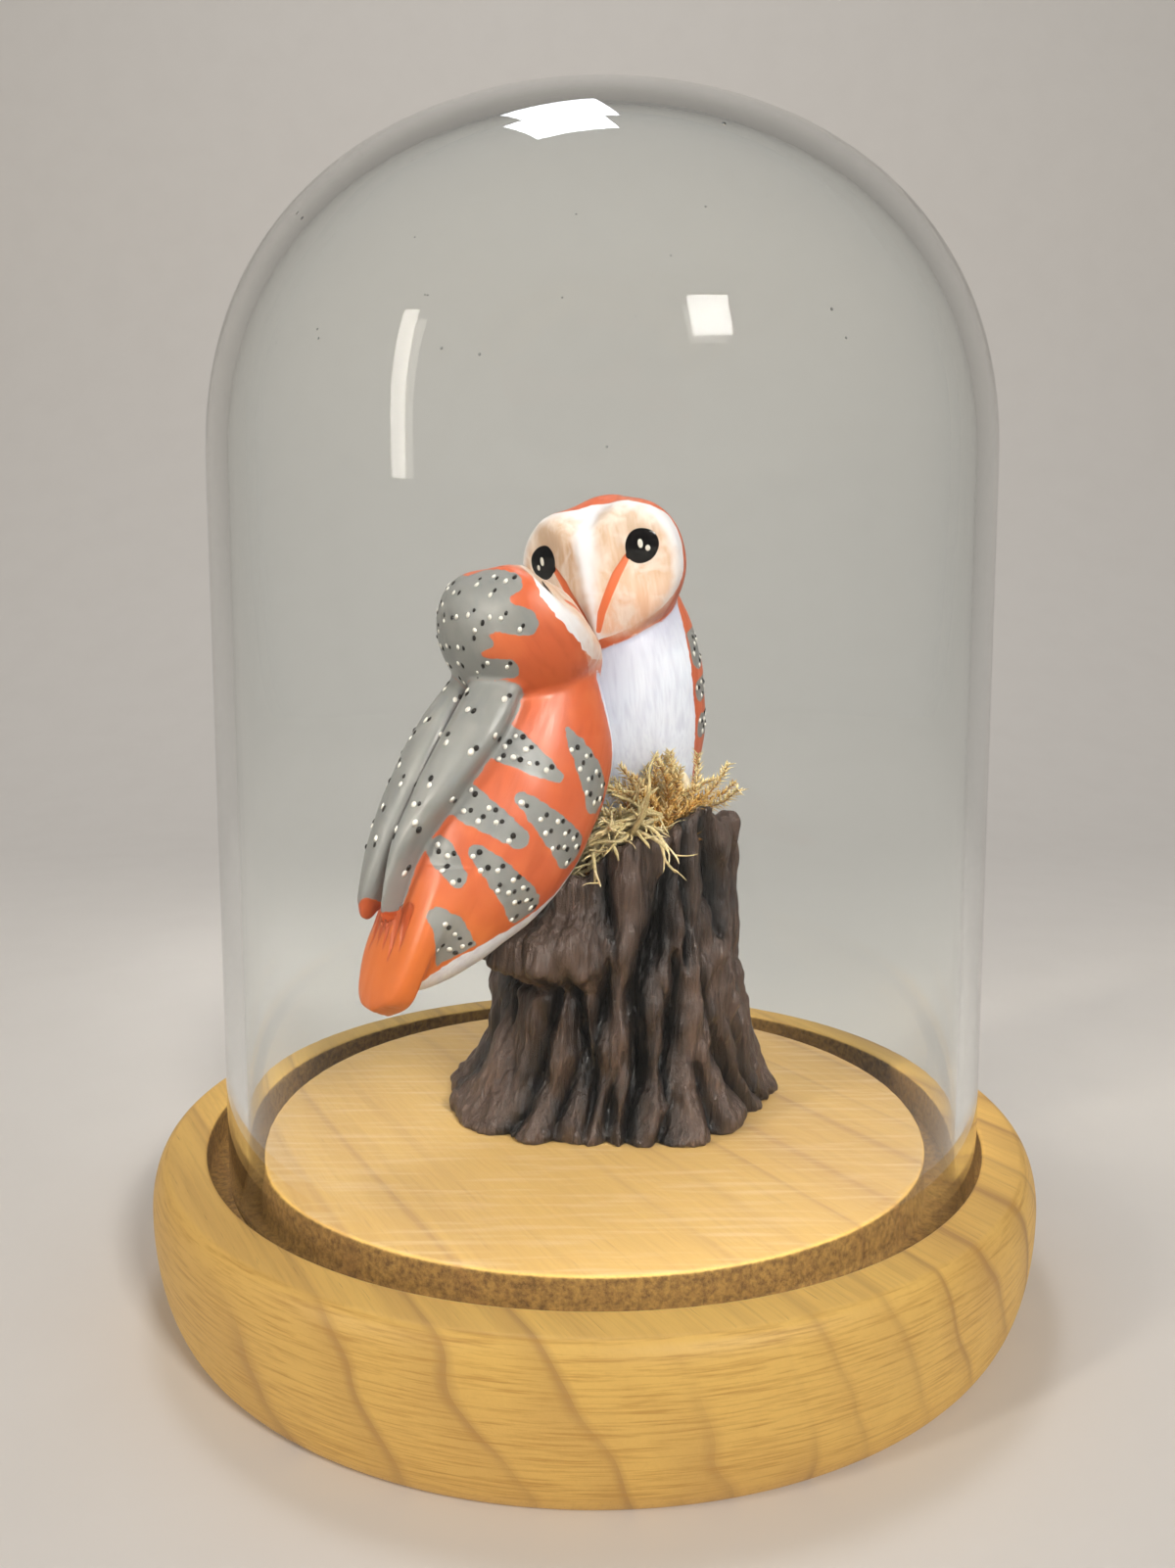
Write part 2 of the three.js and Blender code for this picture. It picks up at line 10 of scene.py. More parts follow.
import bmesh
import bpy
import numpy as np
import openvdb
from bpy.props import (
    FloatProperty,
    FloatVectorProperty,
    IntProperty,
    PointerProperty,
)
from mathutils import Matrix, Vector


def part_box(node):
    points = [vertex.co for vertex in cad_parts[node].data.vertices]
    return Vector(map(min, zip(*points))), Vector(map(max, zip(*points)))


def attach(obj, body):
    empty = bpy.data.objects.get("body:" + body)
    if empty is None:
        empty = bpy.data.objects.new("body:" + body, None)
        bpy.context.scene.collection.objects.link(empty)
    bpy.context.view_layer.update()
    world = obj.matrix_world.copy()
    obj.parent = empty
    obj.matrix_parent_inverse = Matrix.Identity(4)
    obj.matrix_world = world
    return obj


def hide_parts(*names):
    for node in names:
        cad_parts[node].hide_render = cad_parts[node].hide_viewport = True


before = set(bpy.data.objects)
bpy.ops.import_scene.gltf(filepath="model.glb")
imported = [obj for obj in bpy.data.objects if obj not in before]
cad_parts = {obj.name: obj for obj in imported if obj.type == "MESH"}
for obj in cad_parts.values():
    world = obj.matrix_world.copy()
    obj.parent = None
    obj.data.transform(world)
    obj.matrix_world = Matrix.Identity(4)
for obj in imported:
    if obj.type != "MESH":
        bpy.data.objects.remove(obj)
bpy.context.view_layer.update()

bl_info = {
    "name": "Clay Owls Under Glass",
    "version": (1, 0, 0),
    "blender": (4, 5, 0),
    "location": "3D View > Sidebar > Clay Owls",
    "description": "Builds two painted clay owls on a stump under a glass dome",
    "category": "Object",
}

MM = 0.001  # metres in a millimetre

# Places that all pieces share, in millimetres.
DISC_HEIGHT = 22.0  # top of the wooden disc that the stump stands on


# ---------------------------------------------------------------- meshes


def node_box(node):
    """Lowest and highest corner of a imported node, in millimetres."""
    low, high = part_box(node)
    return np.array(low) / MM, np.array(high) / MM


def make_piece(name, points, faces, material, body):
    """Makes one mesh piece from points in millimetres, finished and riding on its body."""
    mesh = bpy.data.meshes.new(name)
    mesh.from_pydata((np.asarray(points, float) * MM).tolist(), [], faces)
    mesh.materials.append(material)
    mesh.polygons.foreach_set("use_smooth", np.full(len(mesh.polygons), True))
    mesh.update()
    piece = bpy.data.objects.new(name, mesh)
    bpy.context.scene.collection.objects.link(piece)
    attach(piece, body)
    return piece


def store(piece, name, values):
    """Keeps one value or one vector for each point of a piece, for its material to read."""
    values = np.asarray(values, np.float32)
    kind = "FLOAT_VECTOR" if values.ndim == 2 else "FLOAT"
    layer = piece.data.attributes.new(name, kind, "POINT")
    layer.data.foreach_set("vector" if values.ndim == 2 else "value", values.ravel())


class Heap:
    """Many small closed shapes gathered into one mesh, each with a tint and a root."""

    def __init__(self):
        self.points = []
        self.faces = []
        self.tints = []
        self.roots = []

    def add(self, points, faces, tint=0.0, root=(0.0, 0.0)):
        start = len(self.points)
        self.points.extend(points)
        self.faces.extend([tuple(start + i for i in face) for face in faces])
        self.tints.extend([tint] * len(points))
        self.roots.extend([tuple(root)] * len(points))

    def tube(self, path, radii, sides, tint=0.0, root=(0.0, 0.0)):
        """A tapered tube along a path, closed at both ends."""
        path = np.asarray(path, float)
        steps = np.gradient(path, axis=0)
        steps /= np.linalg.norm(steps, axis=1)[:, None]
        across = np.cross(steps, (0.31, 0.52, 0.79))
        across /= np.linalg.norm(across, axis=1)[:, None]
        over = np.cross(steps, across)
        angles = np.arange(sides) * 2 * math.pi / sides
        points = [
            path[i] + radii[i] * (math.cos(a) * across[i] + math.sin(a) * over[i])
            for i in range(len(path))
            for a in angles
        ]
        faces = [
            (
                i * sides + j,
                i * sides + (j + 1) % sides,
                (i + 1) * sides + (j + 1) % sides,
                (i + 1) * sides + j,
            )
            for i in range(len(path) - 1)
            for j in range(sides)
        ]
        faces.append(tuple(reversed(range(sides))))
        faces.append(tuple(range((len(path) - 1) * sides, len(path) * sides)))
        self.add(points, faces, tint, root)

    def spike(self, base, direction, length, width, tint=0.0, root=(0.0, 0.0)):
        """A flat pointed leaf: a slim pyramid that is widest a third of the way up."""
        direction = direction / np.linalg.norm(direction)
        across = np.cross(direction, (0.21, 0.35, 0.91))
        across /= np.linalg.norm(across)
        over = np.cross(direction, across)
        middle = base + direction * length * 0.34
        points = [
            base,
            middle + across * width / 2,
            middle + over * width / 5,
            middle - across * width / 2,
            middle - over * width / 5,
            base + direction * length,
        ]
        faces = [(0, 2, 1), (0, 3, 2), (0, 4, 3), (0, 1, 4), (5, 1, 2), (5, 2, 3), (5, 3, 4), (5, 4, 1)]
        self.add(points, faces, tint, root)


def lathe(profile, segments):
    """Points and faces of a profile of (radius, height) turned about the upright axis."""
    profile = np.asarray(profile, float)
    angles = np.arange(segments) * 2 * math.pi / segments
    rows = len(profile)
    ring = np.stack([np.cos(angles), np.sin(angles)], 1)
    points = np.zeros((segments, rows, 3))
    points[:, :, :2] = ring[:, None, :] * profile[None, :, :1]
    points[:, :, 2] = profile[:, 1]
    faces = []
    for i in range(segments):
        j = (i + 1) % segments
        for k in range(rows - 1):
            m = k + 1
            quad = (i * rows + k, j * rows + k, j * rows + m, i * rows + m)
            faces.append(quad)
    return points.reshape(-1, 3), faces


def weld(piece, distance=0.002):
    """Joins the points that a turned profile leaves on its axis."""
    shape = bmesh.new()
    shape.from_mesh(piece.data)
    bmesh.ops.remove_doubles(shape, verts=shape.verts, dist=distance * MM)
    bmesh.ops.dissolve_degenerate(shape, edges=shape.edges, dist=distance * MM)
    bmesh.ops.recalc_face_normals(shape, faces=shape.faces)
    shape.to_mesh(piece.data)
    shape.free()


# ---------------------------------------------------------------- soft volumes


def along(stations, place):
    """Smooth curve through a few (place, value) stations, for an array of places."""
    places = np.array([s[0] for s in stations], float)
    values = np.array([s[1] for s in stations], float)
    slopes = np.empty_like(values)
    slopes[1:-1] = (values[2:] - values[:-2]) / (places[2:] - places[:-2])
    slopes[0] = (values[1] - values[0]) / (places[1] - places[0])
    slopes[-1] = (values[-1] - values[-2]) / (places[-1] - places[-2])
    place = np.clip(place, places[0], places[-1])
    i = np.clip(np.searchsorted(places, place, side="right") - 1, 0, len(places) - 2)
    span = places[i + 1] - places[i]
    t = (place - places[i]) / span
    start, end = slopes[i] * span, slopes[i + 1] * span
    rise = values[i + 1] - values[i]
    return values[i] + t * start + t * t * (3 * rise - 2 * start - end) + t**3 * (start + end - 2 * rise)


def soft_min(a, b, blend):
    """Rounded minimum: joins two volumes with a fillet about as wide as blend."""
    h = np.maximum(blend - np.abs(a - b), 0) / blend
    return np.minimum(a, b) - h * h * blend / 4


def soft_max(a, b, blend):
    return -soft_min(-a, -b, blend)


def smooth_step(t):
    t = np.clip(t, 0, 1)
    return t * t * (3 - 2 * t)


def end_rounding(u, power):
    """Rounds off both ends of a body that runs from -1 to 1."""
    return np.maximum(1 - np.abs(u) ** power, 1e-6) ** (1 / power)


def hand_marks(points, size, seed, waves=7):
    """Gentle unevenness of hand-worked clay, from -1 to 1, in lumps of about that size."""
    chance = np.random.default_rng(seed)
    total = np.zeros(len(points), np.float32)
    for _ in range(waves):
        aim = chance.normal(size=3)
        aim *= 2 * math.pi / (size * chance.uniform(0.7, 1.5) * np.linalg.norm(aim))
        total += np.sin(points @ aim.astype(np.float32) + chance.uniform(0, 6.28))
    return total / math.sqrt(waves * 2)


class Clay:
    """A block of space in which volumes are pressed together before the surface is meshed."""

    FAR = 50.0

    def __init__(self, low, high, step):
        self.low = np.asarray(low, float)
        self.step = step
        self.shape = tuple(int(n) for n in np.ceil((np.asarray(high) - self.low) / step) + 1)
        self.field = np.full(self.shape, self.FAR, np.float32)

    def window(self, low, high):
        """The part of the block between two corners, and its points."""
        first = np.clip(np.floor((np.asarray(low) - self.low) / self.step), 0, None).astype(int)
        last = np.minimum(np.ceil((np.asarray(high) - self.low) / self.step) + 1, self.shape).astype(int)
        last = np.maximum(first, last)
        slices = tuple(slice(a, b) for a, b in zip(first, last))
        axes = [
            (self.low[i] + self.step * np.arange(first[i], last[i])).astype(np.float32) for i in range(3)
        ]
        points = np.stack(np.meshgrid(*axes, indexing="ij"), -1).reshape(-1, 3)
        return slices, points

    def press_on(self, low, high, volume, blend):
        """Adds a volume, given as a function of points, with a fillet where it meets the rest."""
        slices, points = self.window(low, high)
        values = volume(points).reshape(self.field[slices].shape).astype(np.float32)
        self.field[slices] = soft_min(self.field[slices], values, blend)

    def cut_away(self, low, high, volume, blend):
        slices, points = self.window(low, high)
        values = volume(points).reshape(self.field[slices].shape).astype(np.float32)
        self.field[slices] = soft_max(self.field[slices], -values, blend)

    def skin(self):
        """Points in millimetres and four-sided faces of the surface."""
        grid = openvdb.FloatGrid(self.FAR)
        grid.copyFromArray(np.clip(self.field, -2, 2))
        points, quads = grid.convertToQuads(isovalue=0.0)
        points = self.low + points.astype(float) * self.step
        return points, quads[:, ::-1]


class Pose:
    """Where a part sits: its middle, and its right, forward and up directions."""

    def __init__(self, middle, turn):
        heading, pitch, roll = np.radians(turn)
        flat = np.array([math.cos(heading), math.sin(heading), 0])
        right = np.array([flat[1], -flat[0], 0])
        up = np.array([0, 0, 1.0])
        forward = math.cos(pitch) * flat + math.sin(pitch) * up
        lifted = math.cos(pitch) * up - math.sin(pitch) * flat
        tipped_up = math.cos(roll) * lifted + math.sin(roll) * right
        tipped_right = math.cos(roll) * right - math.sin(roll) * lifted
        self.middle = np.array(middle, float) + (0, 0, DISC_HEIGHT)
        self.axes = np.array([tipped_right, forward, tipped_up])

    def inside(self, points):
        """Points of the whole object, in this part's own frame."""
        return ((points - self.middle) @ self.axes.T).astype(np.float32)

    def outside(self, points):
        return np.asarray(points) @ self.axes + self.middle


# ---------------------------------------------------------------- materials


def linear(hex_colour):
    """The linear colour that Blender works in, from an sRGB hex colour."""
    channels = [int(hex_colour[i : i + 2], 16) / 255 for i in (1, 3, 5)]
    return tuple(c / 12.92 if c <= 0.04045 else ((c + 0.055) / 1.055) ** 2.4 for c in channels)


def add_node(tree, kind, inputs=None, stops=None, **settings):
    """Adds a node, sets it, fills its sockets with values or links, and sets its colour stops."""
    node = tree.nodes.new(kind)
    for name, value in settings.items():
        setattr(node, name, value)
    for socket, value in (inputs or {}).items():
        if isinstance(value, bpy.types.NodeSocket):
            tree.links.new(value, node.inputs[socket])
        else:
            node.inputs[socket].default_value = value
    if stops:
        elements = node.color_ramp.elements
        while len(elements) < len(stops):
            elements.new(1)
        for element, (place, colour) in zip(elements, stops):
            element.position = place
            element.color = (*colour, 1)
    return node


def new_material(name):
    """An empty material and its node tree, ready for a shader."""
    material = bpy.data.materials.new(name)
    material.use_nodes = True
    material.node_tree.nodes.clear()
    return material, material.node_tree


def finish_material(tree, shader):
    add_node(tree, "ShaderNodeOutputMaterial", {"Surface": shader.outputs["BSDF"]})


def place_in_mm(tree, stretch=(1, 1, 1)):
    """The surface's place in the object, in millimetres divided by the stretch."""
    place = add_node(tree, "ShaderNodeTexCoord").outputs["Object"]
    scale = tuple(1 / (MM * s) for s in stretch)
    return add_node(tree, "ShaderNodeMapping", {"Vector": place, "Scale": scale}).outputs["Vector"]


def painted_over(tree, ground, paint, cover):
    """The colour where a paint covers a ground, as much as cover says, from 0 to 1."""
    sockets = {0: cover, 6: ground, 7: paint}
    for index in (6, 7):
        if not isinstance(sockets[index], bpy.types.NodeSocket):
            sockets[index] = (*sockets[index], 1)
    return add_node(tree, "ShaderNodeMix", sockets, data_type="RGBA").outputs[2]


def inside_mark(tree, mark, softness=0.07, wobble=None):
    """1 inside a painted mark and 0 outside, from its stored distance in millimetres."""
    distance = add_node(tree, "ShaderNodeAttribute", attribute_name=mark).outputs["Fac"]
    if wobble is not None:
        distance = add_node(tree, "ShaderNodeMath", {0: distance, 1: wobble}, operation="ADD").outputs[0]
    edges = {"Value": distance, "From Min": softness, "From Max": -softness}
    return add_node(tree, "ShaderNodeMapRange", edges, interpolation_type="SMOOTHSTEP").outputs[0]


# ---------------------------------------------------------------- wooden base


class BaseSettings(bpy.types.PropertyGroup):
    """Turned wooden base with a groove for the glass."""

    height: FloatProperty(
        name="Height",
        description="Full height of the base",
        default=0.022,
        min=0.005,
        unit="LENGTH",
        subtype="DISTANCE",
    )
    groove_depth: FloatProperty(
        name="Groove Depth",
        description="How deep the groove for the glass is cut",
        default=0.006,
        min=0.001,
        unit="LENGTH",
        subtype="DISTANCE",
    )
    wood_light: FloatVectorProperty(
        name="Wood",
        description="Colour of the pale early wood",
        default=linear("#E8BC63"),
        size=3,
        min=0,
        max=1,
        subtype="COLOR",
    )
    wood_dark: FloatVectorProperty(
        name="Growth Lines",
        description="Colour of the darker late wood",
        default=linear("#A67C48"),
        size=3,
        min=0,
        max=1,
        subtype="COLOR",
    )


# The plank's own directions: along the fibres, and across the growth layers.
FIBRE = (0.508, -0.861, 0.0)
GROWTH = (0.785, 0.466, 0.409)
THIRD = (-0.352, -0.208, 0.913)


def turned_wood(settings):
    """Pale hardwood turned on a lathe and oiled: warm, satin, with slanting growth lines."""
    material, tree = new_material("Pale Hardwood, turned and oiled")
    place = place_in_mm(tree)
    turned = [
        add_node(
            tree, "ShaderNodeVectorMath", {0: place, 1: aim}, operation="DOT_PRODUCT"
        ).outputs["Value"]
        for aim in (FIBRE, GROWTH, THIRD)
    ]
    # Fibres are drawn out along the plank: 26 mm long for each millimetre across.
    long_way = add_node(tree, "ShaderNodeMath", {0: turned[0], 1: 1 / 26}, operation="MULTIPLY").outputs[0]
    fibre_place = add_node(
        tree, "ShaderNodeCombineXYZ", {"X": long_way, "Y": turned[1], "Z": turned[2]}
    ).outputs[0]
    waver = add_node(
        tree, "ShaderNodeTexNoise", {"Vector": fibre_place, "Scale": 0.05, "Detail": 2.0}
    ).outputs["Fac"]
    ring_place = add_node(
        tree, "ShaderNodeMath", {0: waver, 1: 9.0, 2: turned[1]}, operation="MULTIPLY_ADD"
    ).outputs[0]
    # Growth layers are about 9 mm apart and unequal.
    uneven = add_node(
        tree, "ShaderNodeTexNoise", {"W": ring_place, "Scale": 0.06, "Detail": 1.0}, noise_dimensions="1D"
    ).outputs["Fac"]
    layered = add_node(
        tree, "ShaderNodeMath", {0: uneven, 1: 9.0, 2: ring_place}, operation="MULTIPLY_ADD"
    ).outputs[0]
    turn = add_node(tree, "ShaderNodeMath", {0: layered, 1: 1 / 9}, operation="MULTIPLY").outputs[0]
    layer = add_node(tree, "ShaderNodeMath", {0: turn}, operation="FRACT").outputs[0]
    line = add_node(
        tree,
        "ShaderNodeValToRGB",
        {"Fac": layer},
        stops=[(0.0, (0.6,) * 3), (0.1, (0.0,) * 3), (0.45, (0.0,) * 3), (0.85, (0.35,) * 3), (0.95,
            (0.85,) * 3)],
    ).outputs["Color"]
    strength = add_node(
        tree, "ShaderNodeTexNoise", {"Vector": fibre_place, "Scale": 0.045, "Detail": 1.0}
    ).outputs["Fac"]
    strong = add_node(
        tree,
        "ShaderNodeMapRange",
        {"Value": strength, "From Min": 0.4, "From Max": 0.62, "To Min": 0.08, "To Max": 0.8},
    ).outputs[0]
    # They are darkest on the right, 18 to 42 mm from the plank's middle.
    outer = add_node(
        tree, "ShaderNodeMapRange", {"Value": turned[1], "From Min": 18, "From Max": 42, "To Max": 0.5}
    ).outputs[0]
    strong = add_node(tree, "ShaderNodeMath", {0: strong, 1: outer}, operation="ADD",
        use_clamp=True).outputs[0]
    line = add_node(tree, "ShaderNodeMath", {0: line, 1: strong}, operation="MULTIPLY").outputs[0]
    colour = painted_over(tree, tuple(settings.wood_light), tuple(settings.wood_dark), line)
    # Broad cloudy change of tone, and fine fibres and short dark pores.
    cloud = add_node(
        tree, "ShaderNodeTexNoise", {"Vector": fibre_place, "Scale": 0.03, "Detail": 3.0}
    ).outputs["Fac"]
    cloudy = add_node(
        tree, "ShaderNodeMapRange", {"Value": cloud, "From Min": 0.45, "From Max": 0.72, "To Max": 0.35}
    ).outputs[0]
    colour = painted_over(tree, colour, linear("#C69657"), cloudy)
    fibres = add_node(
        tree, "ShaderNodeTexNoise", {"Vector": fibre_place, "Scale": 1.7, "Detail": 4.0, "Roughness": 0.65}
    ).outputs["Fac"]
    # On the turned side the fibres are cut across, so their lines are weaker there.
    side = add_node(tree, "ShaderNodeAttribute", attribute_name="side").outputs["Fac"]
    on_top = add_node(tree, "ShaderNodeMath", {0: side, 1: -0.8, 2: 1.0},
        operation="MULTIPLY_ADD").outputs[0]

    def lines(noise, low, high, most):
        cover = {"Value": noise, "From Min": low, "From Max": high, "To Max": most}
        cover = add_node(tree, "ShaderNodeMapRange", cover).outputs[0]
        return add_node(tree, "ShaderNodeMath", {0: cover, 1: on_top}, operation="MULTIPLY").outputs[0]

    colour = painted_over(tree, colour, linear("#9C7342"), lines(fibres, 0.47, 0.72, 0.25))
    # Long streaks of darker fibre, 3 mm apart.
    streaks = add_node(
        tree, "ShaderNodeTexNoise", {"Vector": fibre_place, "Scale": 0.33, "Detail": 3.0, "Roughness": 0.6}
    ).outputs["Fac"]
    colour = painted_over(tree, colour, linear("#B08448"), lines(streaks, 0.5, 0.72, 0.35))
    pores = add_node(
        tree, "ShaderNodeTexNoise", {"Vector": fibre_place, "Scale": 4.2, "Detail": 2.0}
    ).outputs["Fac"]
    colour = painted_over(tree, colour, linear("#7A5528"), lines(pores, 0.66, 0.74, 0.4))
    # The turning tool leaves faint level lines round the side, 0.35 mm apart and about 8 mm long.
    tooled = add_node(
        tree,
        "ShaderNodeTexNoise",
        {"Vector": place_in_mm(tree, (8, 8, 0.35)), "Scale": 1.0, "Detail": 3.0, "Roughness": 0.6},
    ).outputs["Fac"]
    turned_lines = add_node(
        tree, "ShaderNodeMapRange", {"Value": tooled, "From Min": 0.46, "From Max": 0.7, "To Max": 0.75}
    ).outputs[0]
    turned_lines = add_node(tree, "ShaderNodeMath", {0: turned_lines, 1: side},
        operation="MULTIPLY").outputs[0]
    colour = painted_over(tree, colour, linear("#BD8D42"), turned_lines)
    # The disc is sanded bare: greyer, and darker as painted shade, with cross saw marks 1.3 mm apart.
    disc = add_node(tree, "ShaderNodeAttribute", attribute_name="disc").outputs["Fac"]
    bare = add_node(tree, "ShaderNodeMath", {0: disc, 1: 0.55}, operation="MULTIPLY").outputs[0]
    colour = painted_over(tree, colour, linear("#AE9066"), bare)
    saw_place = add_node(tree, "ShaderNodeMapping", {"Vector": place, "Rotation": (0, 0, 0.2),
        "Scale": (1 / 16, 1 / 1.3, 1)})
    saw = add_node(
        tree, "ShaderNodeTexNoise", {"Vector": saw_place.outputs["Vector"], "Scale": 1.0, "Detail": 3.0}
    ).outputs["Fac"]
    sawn = add_node(
        tree, "ShaderNodeMapRange", {"Value": saw, "From Min": 0.5, "From Max": 0.68, "To Max": 0.45}
    ).outputs[0]
    sawn = add_node(tree, "ShaderNodeMath", {0: sawn, 1: disc}, operation="MULTIPLY").outputs[0]
    colour = painted_over(tree, colour, linear("#D6BC93"), sawn)
    # The groove is darker throughout and rougher, with darker torn specks.
    groove = add_node(tree, "ShaderNodeAttribute", attribute_name="groove").outputs["Fac"]
    torn = add_node(
        tree, "ShaderNodeTexNoise", {"Vector": place, "Scale": 1.1, "Detail": 5.0, "Roughness": 0.7}
    ).outputs["Fac"]
    torn_cover = add_node(
        tree, "ShaderNodeMapRange", {"Value": torn, "From Min": 0.38, "From Max": 0.64, "To Max": 0.8}
    ).outputs[0]
    torn_cover = add_node(
        tree, "ShaderNodeMath", {0: torn_cover, 1: groove}, operation="MULTIPLY"
    ).outputs[0]
    groove_tone = add_node(tree, "ShaderNodeMath", {0: groove, 1: 0.8}, operation="MULTIPLY").outputs[0]
    colour = painted_over(tree, colour, linear("#7F5A2B"), groove_tone)
    colour = painted_over(tree, colour, linear("#523817"), torn_cover)
    rough = add_node(
        tree, "ShaderNodeMapRange", {"Value": fibres, "To Min": 0.42, "To Max": 0.62}
    ).outputs[0]
    rough = add_node(
        tree, "ShaderNodeMath", {0: groove, 1: 0.3, 2: rough}, operation="MULTIPLY_ADD", use_clamp=True
    ).outputs[0]
    relief = add_node(
        tree, "ShaderNodeMath", {0: torn_cover, 1: -2.5, 2: fibres}, operation="MULTIPLY_ADD"
    ).outputs[0]
    bump = add_node(tree, "ShaderNodeBump", {"Height": relief, "Strength": 0.35, "Distance": 0.12 * MM})
    shader = add_node(
        tree,
        "ShaderNodeBsdfPrincipled",
        {"Base Color": colour, "Roughness": rough, "Normal": bump.outputs[0], "IOR": 1.5},
    )
    finish_material(tree, shader)
    return material


class OWLS_OT_wood_base(bpy.types.Operator):
    """Turns the wooden base, with its rounded edge and its groove"""

    bl_idname = "clay_owls.wood_base"
    bl_label = "Wooden Base"

    NOSE_HEIGHT = 15.6  # where the rounded edge is widest
    TOP_RADIUS = 67.1
    FOOT_RADIUS = 64.8
    DISC_RADIUS = 53.7  # inner edge of the groove
    RIM_RADIUS = 61.9  # outer edge of the groove
    ARRIS = 0.7  # softened edge, in millimetres
    SEGMENTS = 288

    def profile(self, settings):
        """Outline from the middle of the underside round to the middle of the top."""
        height = settings.height / MM
        floor = height - settings.groove_depth / MM
        low, high = node_box("wood_base")
        radius = (high[0] - low[0]) / 2
        quarter = np.linspace(0, math.pi / 2, 15)
        points = [(0, 0), (self.FOOT_RADIUS - 3, 0)]
        for a in quarter:  # lower edge, from the foot out to the nose
            points.append(
                (
                    self.FOOT_RADIUS + (radius - self.FOOT_RADIUS) * math.sin(a),
                    self.NOSE_HEIGHT * (1 - math.cos(a)),
                )
            )
        for a in quarter[1:]:  # upper edge, from the nose in to the top
            points.append(
                (
                    self.TOP_RADIUS + (radius - self.TOP_RADIUS) * math.cos(a),
                    self.NOSE_HEIGHT + (height - self.NOSE_HEIGHT) * math.sin(a),
                )
            )
        bend = np.linspace(0, math.pi / 2, 5)
        arris = self.ARRIS
        points += [
            (self.RIM_RADIUS + arris - arris * math.sin(a),
                height - arris + arris * math.cos(a)) for a in bend
        ]
        points += [(self.RIM_RADIUS, floor + 2), (self.RIM_RADIUS, floor), (self.DISC_RADIUS, floor)]
        points += [(self.DISC_RADIUS, floor + 2)]
        points += [
            (self.DISC_RADIUS - arris + arris * math.cos(a),
                height - arris + arris * math.sin(a)) for a in bend
        ]
        points += [(radius_in, height) for radius_in in (46, 34, 22, 10, 0)]
        return points

    def execute(self, context):
        settings = context.scene.owls_base
        profile = self.profile(settings)
        points, faces = lathe(profile, self.SEGMENTS)
        height = settings.height / MM
        piece = make_piece("base_turning", points, faces, turned_wood(settings), "base")
        weld(piece)
        place = np.zeros(len(piece.data.vertices) * 3)
        piece.data.vertices.foreach_get("co", place)
        place = place.reshape(-1, 3) / MM
        radius = np.hypot(place[:, 0], place[:, 1])
        in_groove = (
            (radius > self.DISC_RADIUS - 0.2) & (radius < self.RIM_RADIUS + 0.2) & (place[:,
                2] < height - 0.3)
        )
        side = smooth_step((radius - self.TOP_RADIUS + 0.4) / 1.2)
        store(piece, "side", np.where(place[:, 2] < height - 0.05, side, side * 0.5))
        store(piece, "disc", np.where((radius < self.DISC_RADIUS - 0.2) & (place[:, 2] > height - 0.1),
            1.0, 0.0))
        store(piece, "groove", np.where(in_groove & (place[:, 2] > height / 2), 1.0, 0.0))
        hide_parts("wood_base")
        return {"FINISHED"}


# ---------------------------------------------------------------- glass dome


class DomeSettings(bpy.types.PropertyGroup):
    """Blown glass dome."""

    wall: FloatProperty(
        name="Wall",
        description="Thickness of the glass",
        default=0.003,
        min=0.0005,
        unit="LENGTH",
        subtype="DISTANCE",
    )
    bubbles: IntProperty(
        name="Seed Bubbles",
        description="How many tiny bubbles are caught in the glass",
        default=24,
        min=0,
        max=400,
    )
    tint: FloatVectorProperty(
        name="Glass",
        description="Faint colour of the glass",
        default=linear("#FCFEFD"),
        size=3,
        min=0,
        max=1,
        subtype="COLOR",
    )


def blown_glass(settings):
    """Soda-lime glass, blown and fire-polished: clear, with faint upright draw lines."""
    material, tree = new_material("Soda-lime Glass, blown")
    # Draw lines are 2.5 mm apart round the wall and hardly change up it.
    streaks = add_node(
        tree,
        "ShaderNodeTexNoise",
        {"Vector": place_in_mm(tree, (2.5, 2.5, 60)), "Scale": 1.0, "Detail": 2.0},
    ).outputs["Fac"]
    bump = add_node(tree, "ShaderNodeBump", {"Height": streaks, "Strength": 0.06, "Distance": 0.05 * MM})
    shader = add_node(
        tree,
        "ShaderNodeBsdfPrincipled",
        {
            "Base Color": (*settings.tint, 1),
            "Roughness": 0.0,
            "IOR": 1.38,
            # Head-on it mirrors little, so the dark stump stays dark; its rims still shine.
            "Specular Tint": (0.28, 0.28, 0.28, 1),
            "Transmission Weight": 1.0,
            "Normal": bump.outputs[0],
        },
    )
    finish_material(tree, shader)
    return material


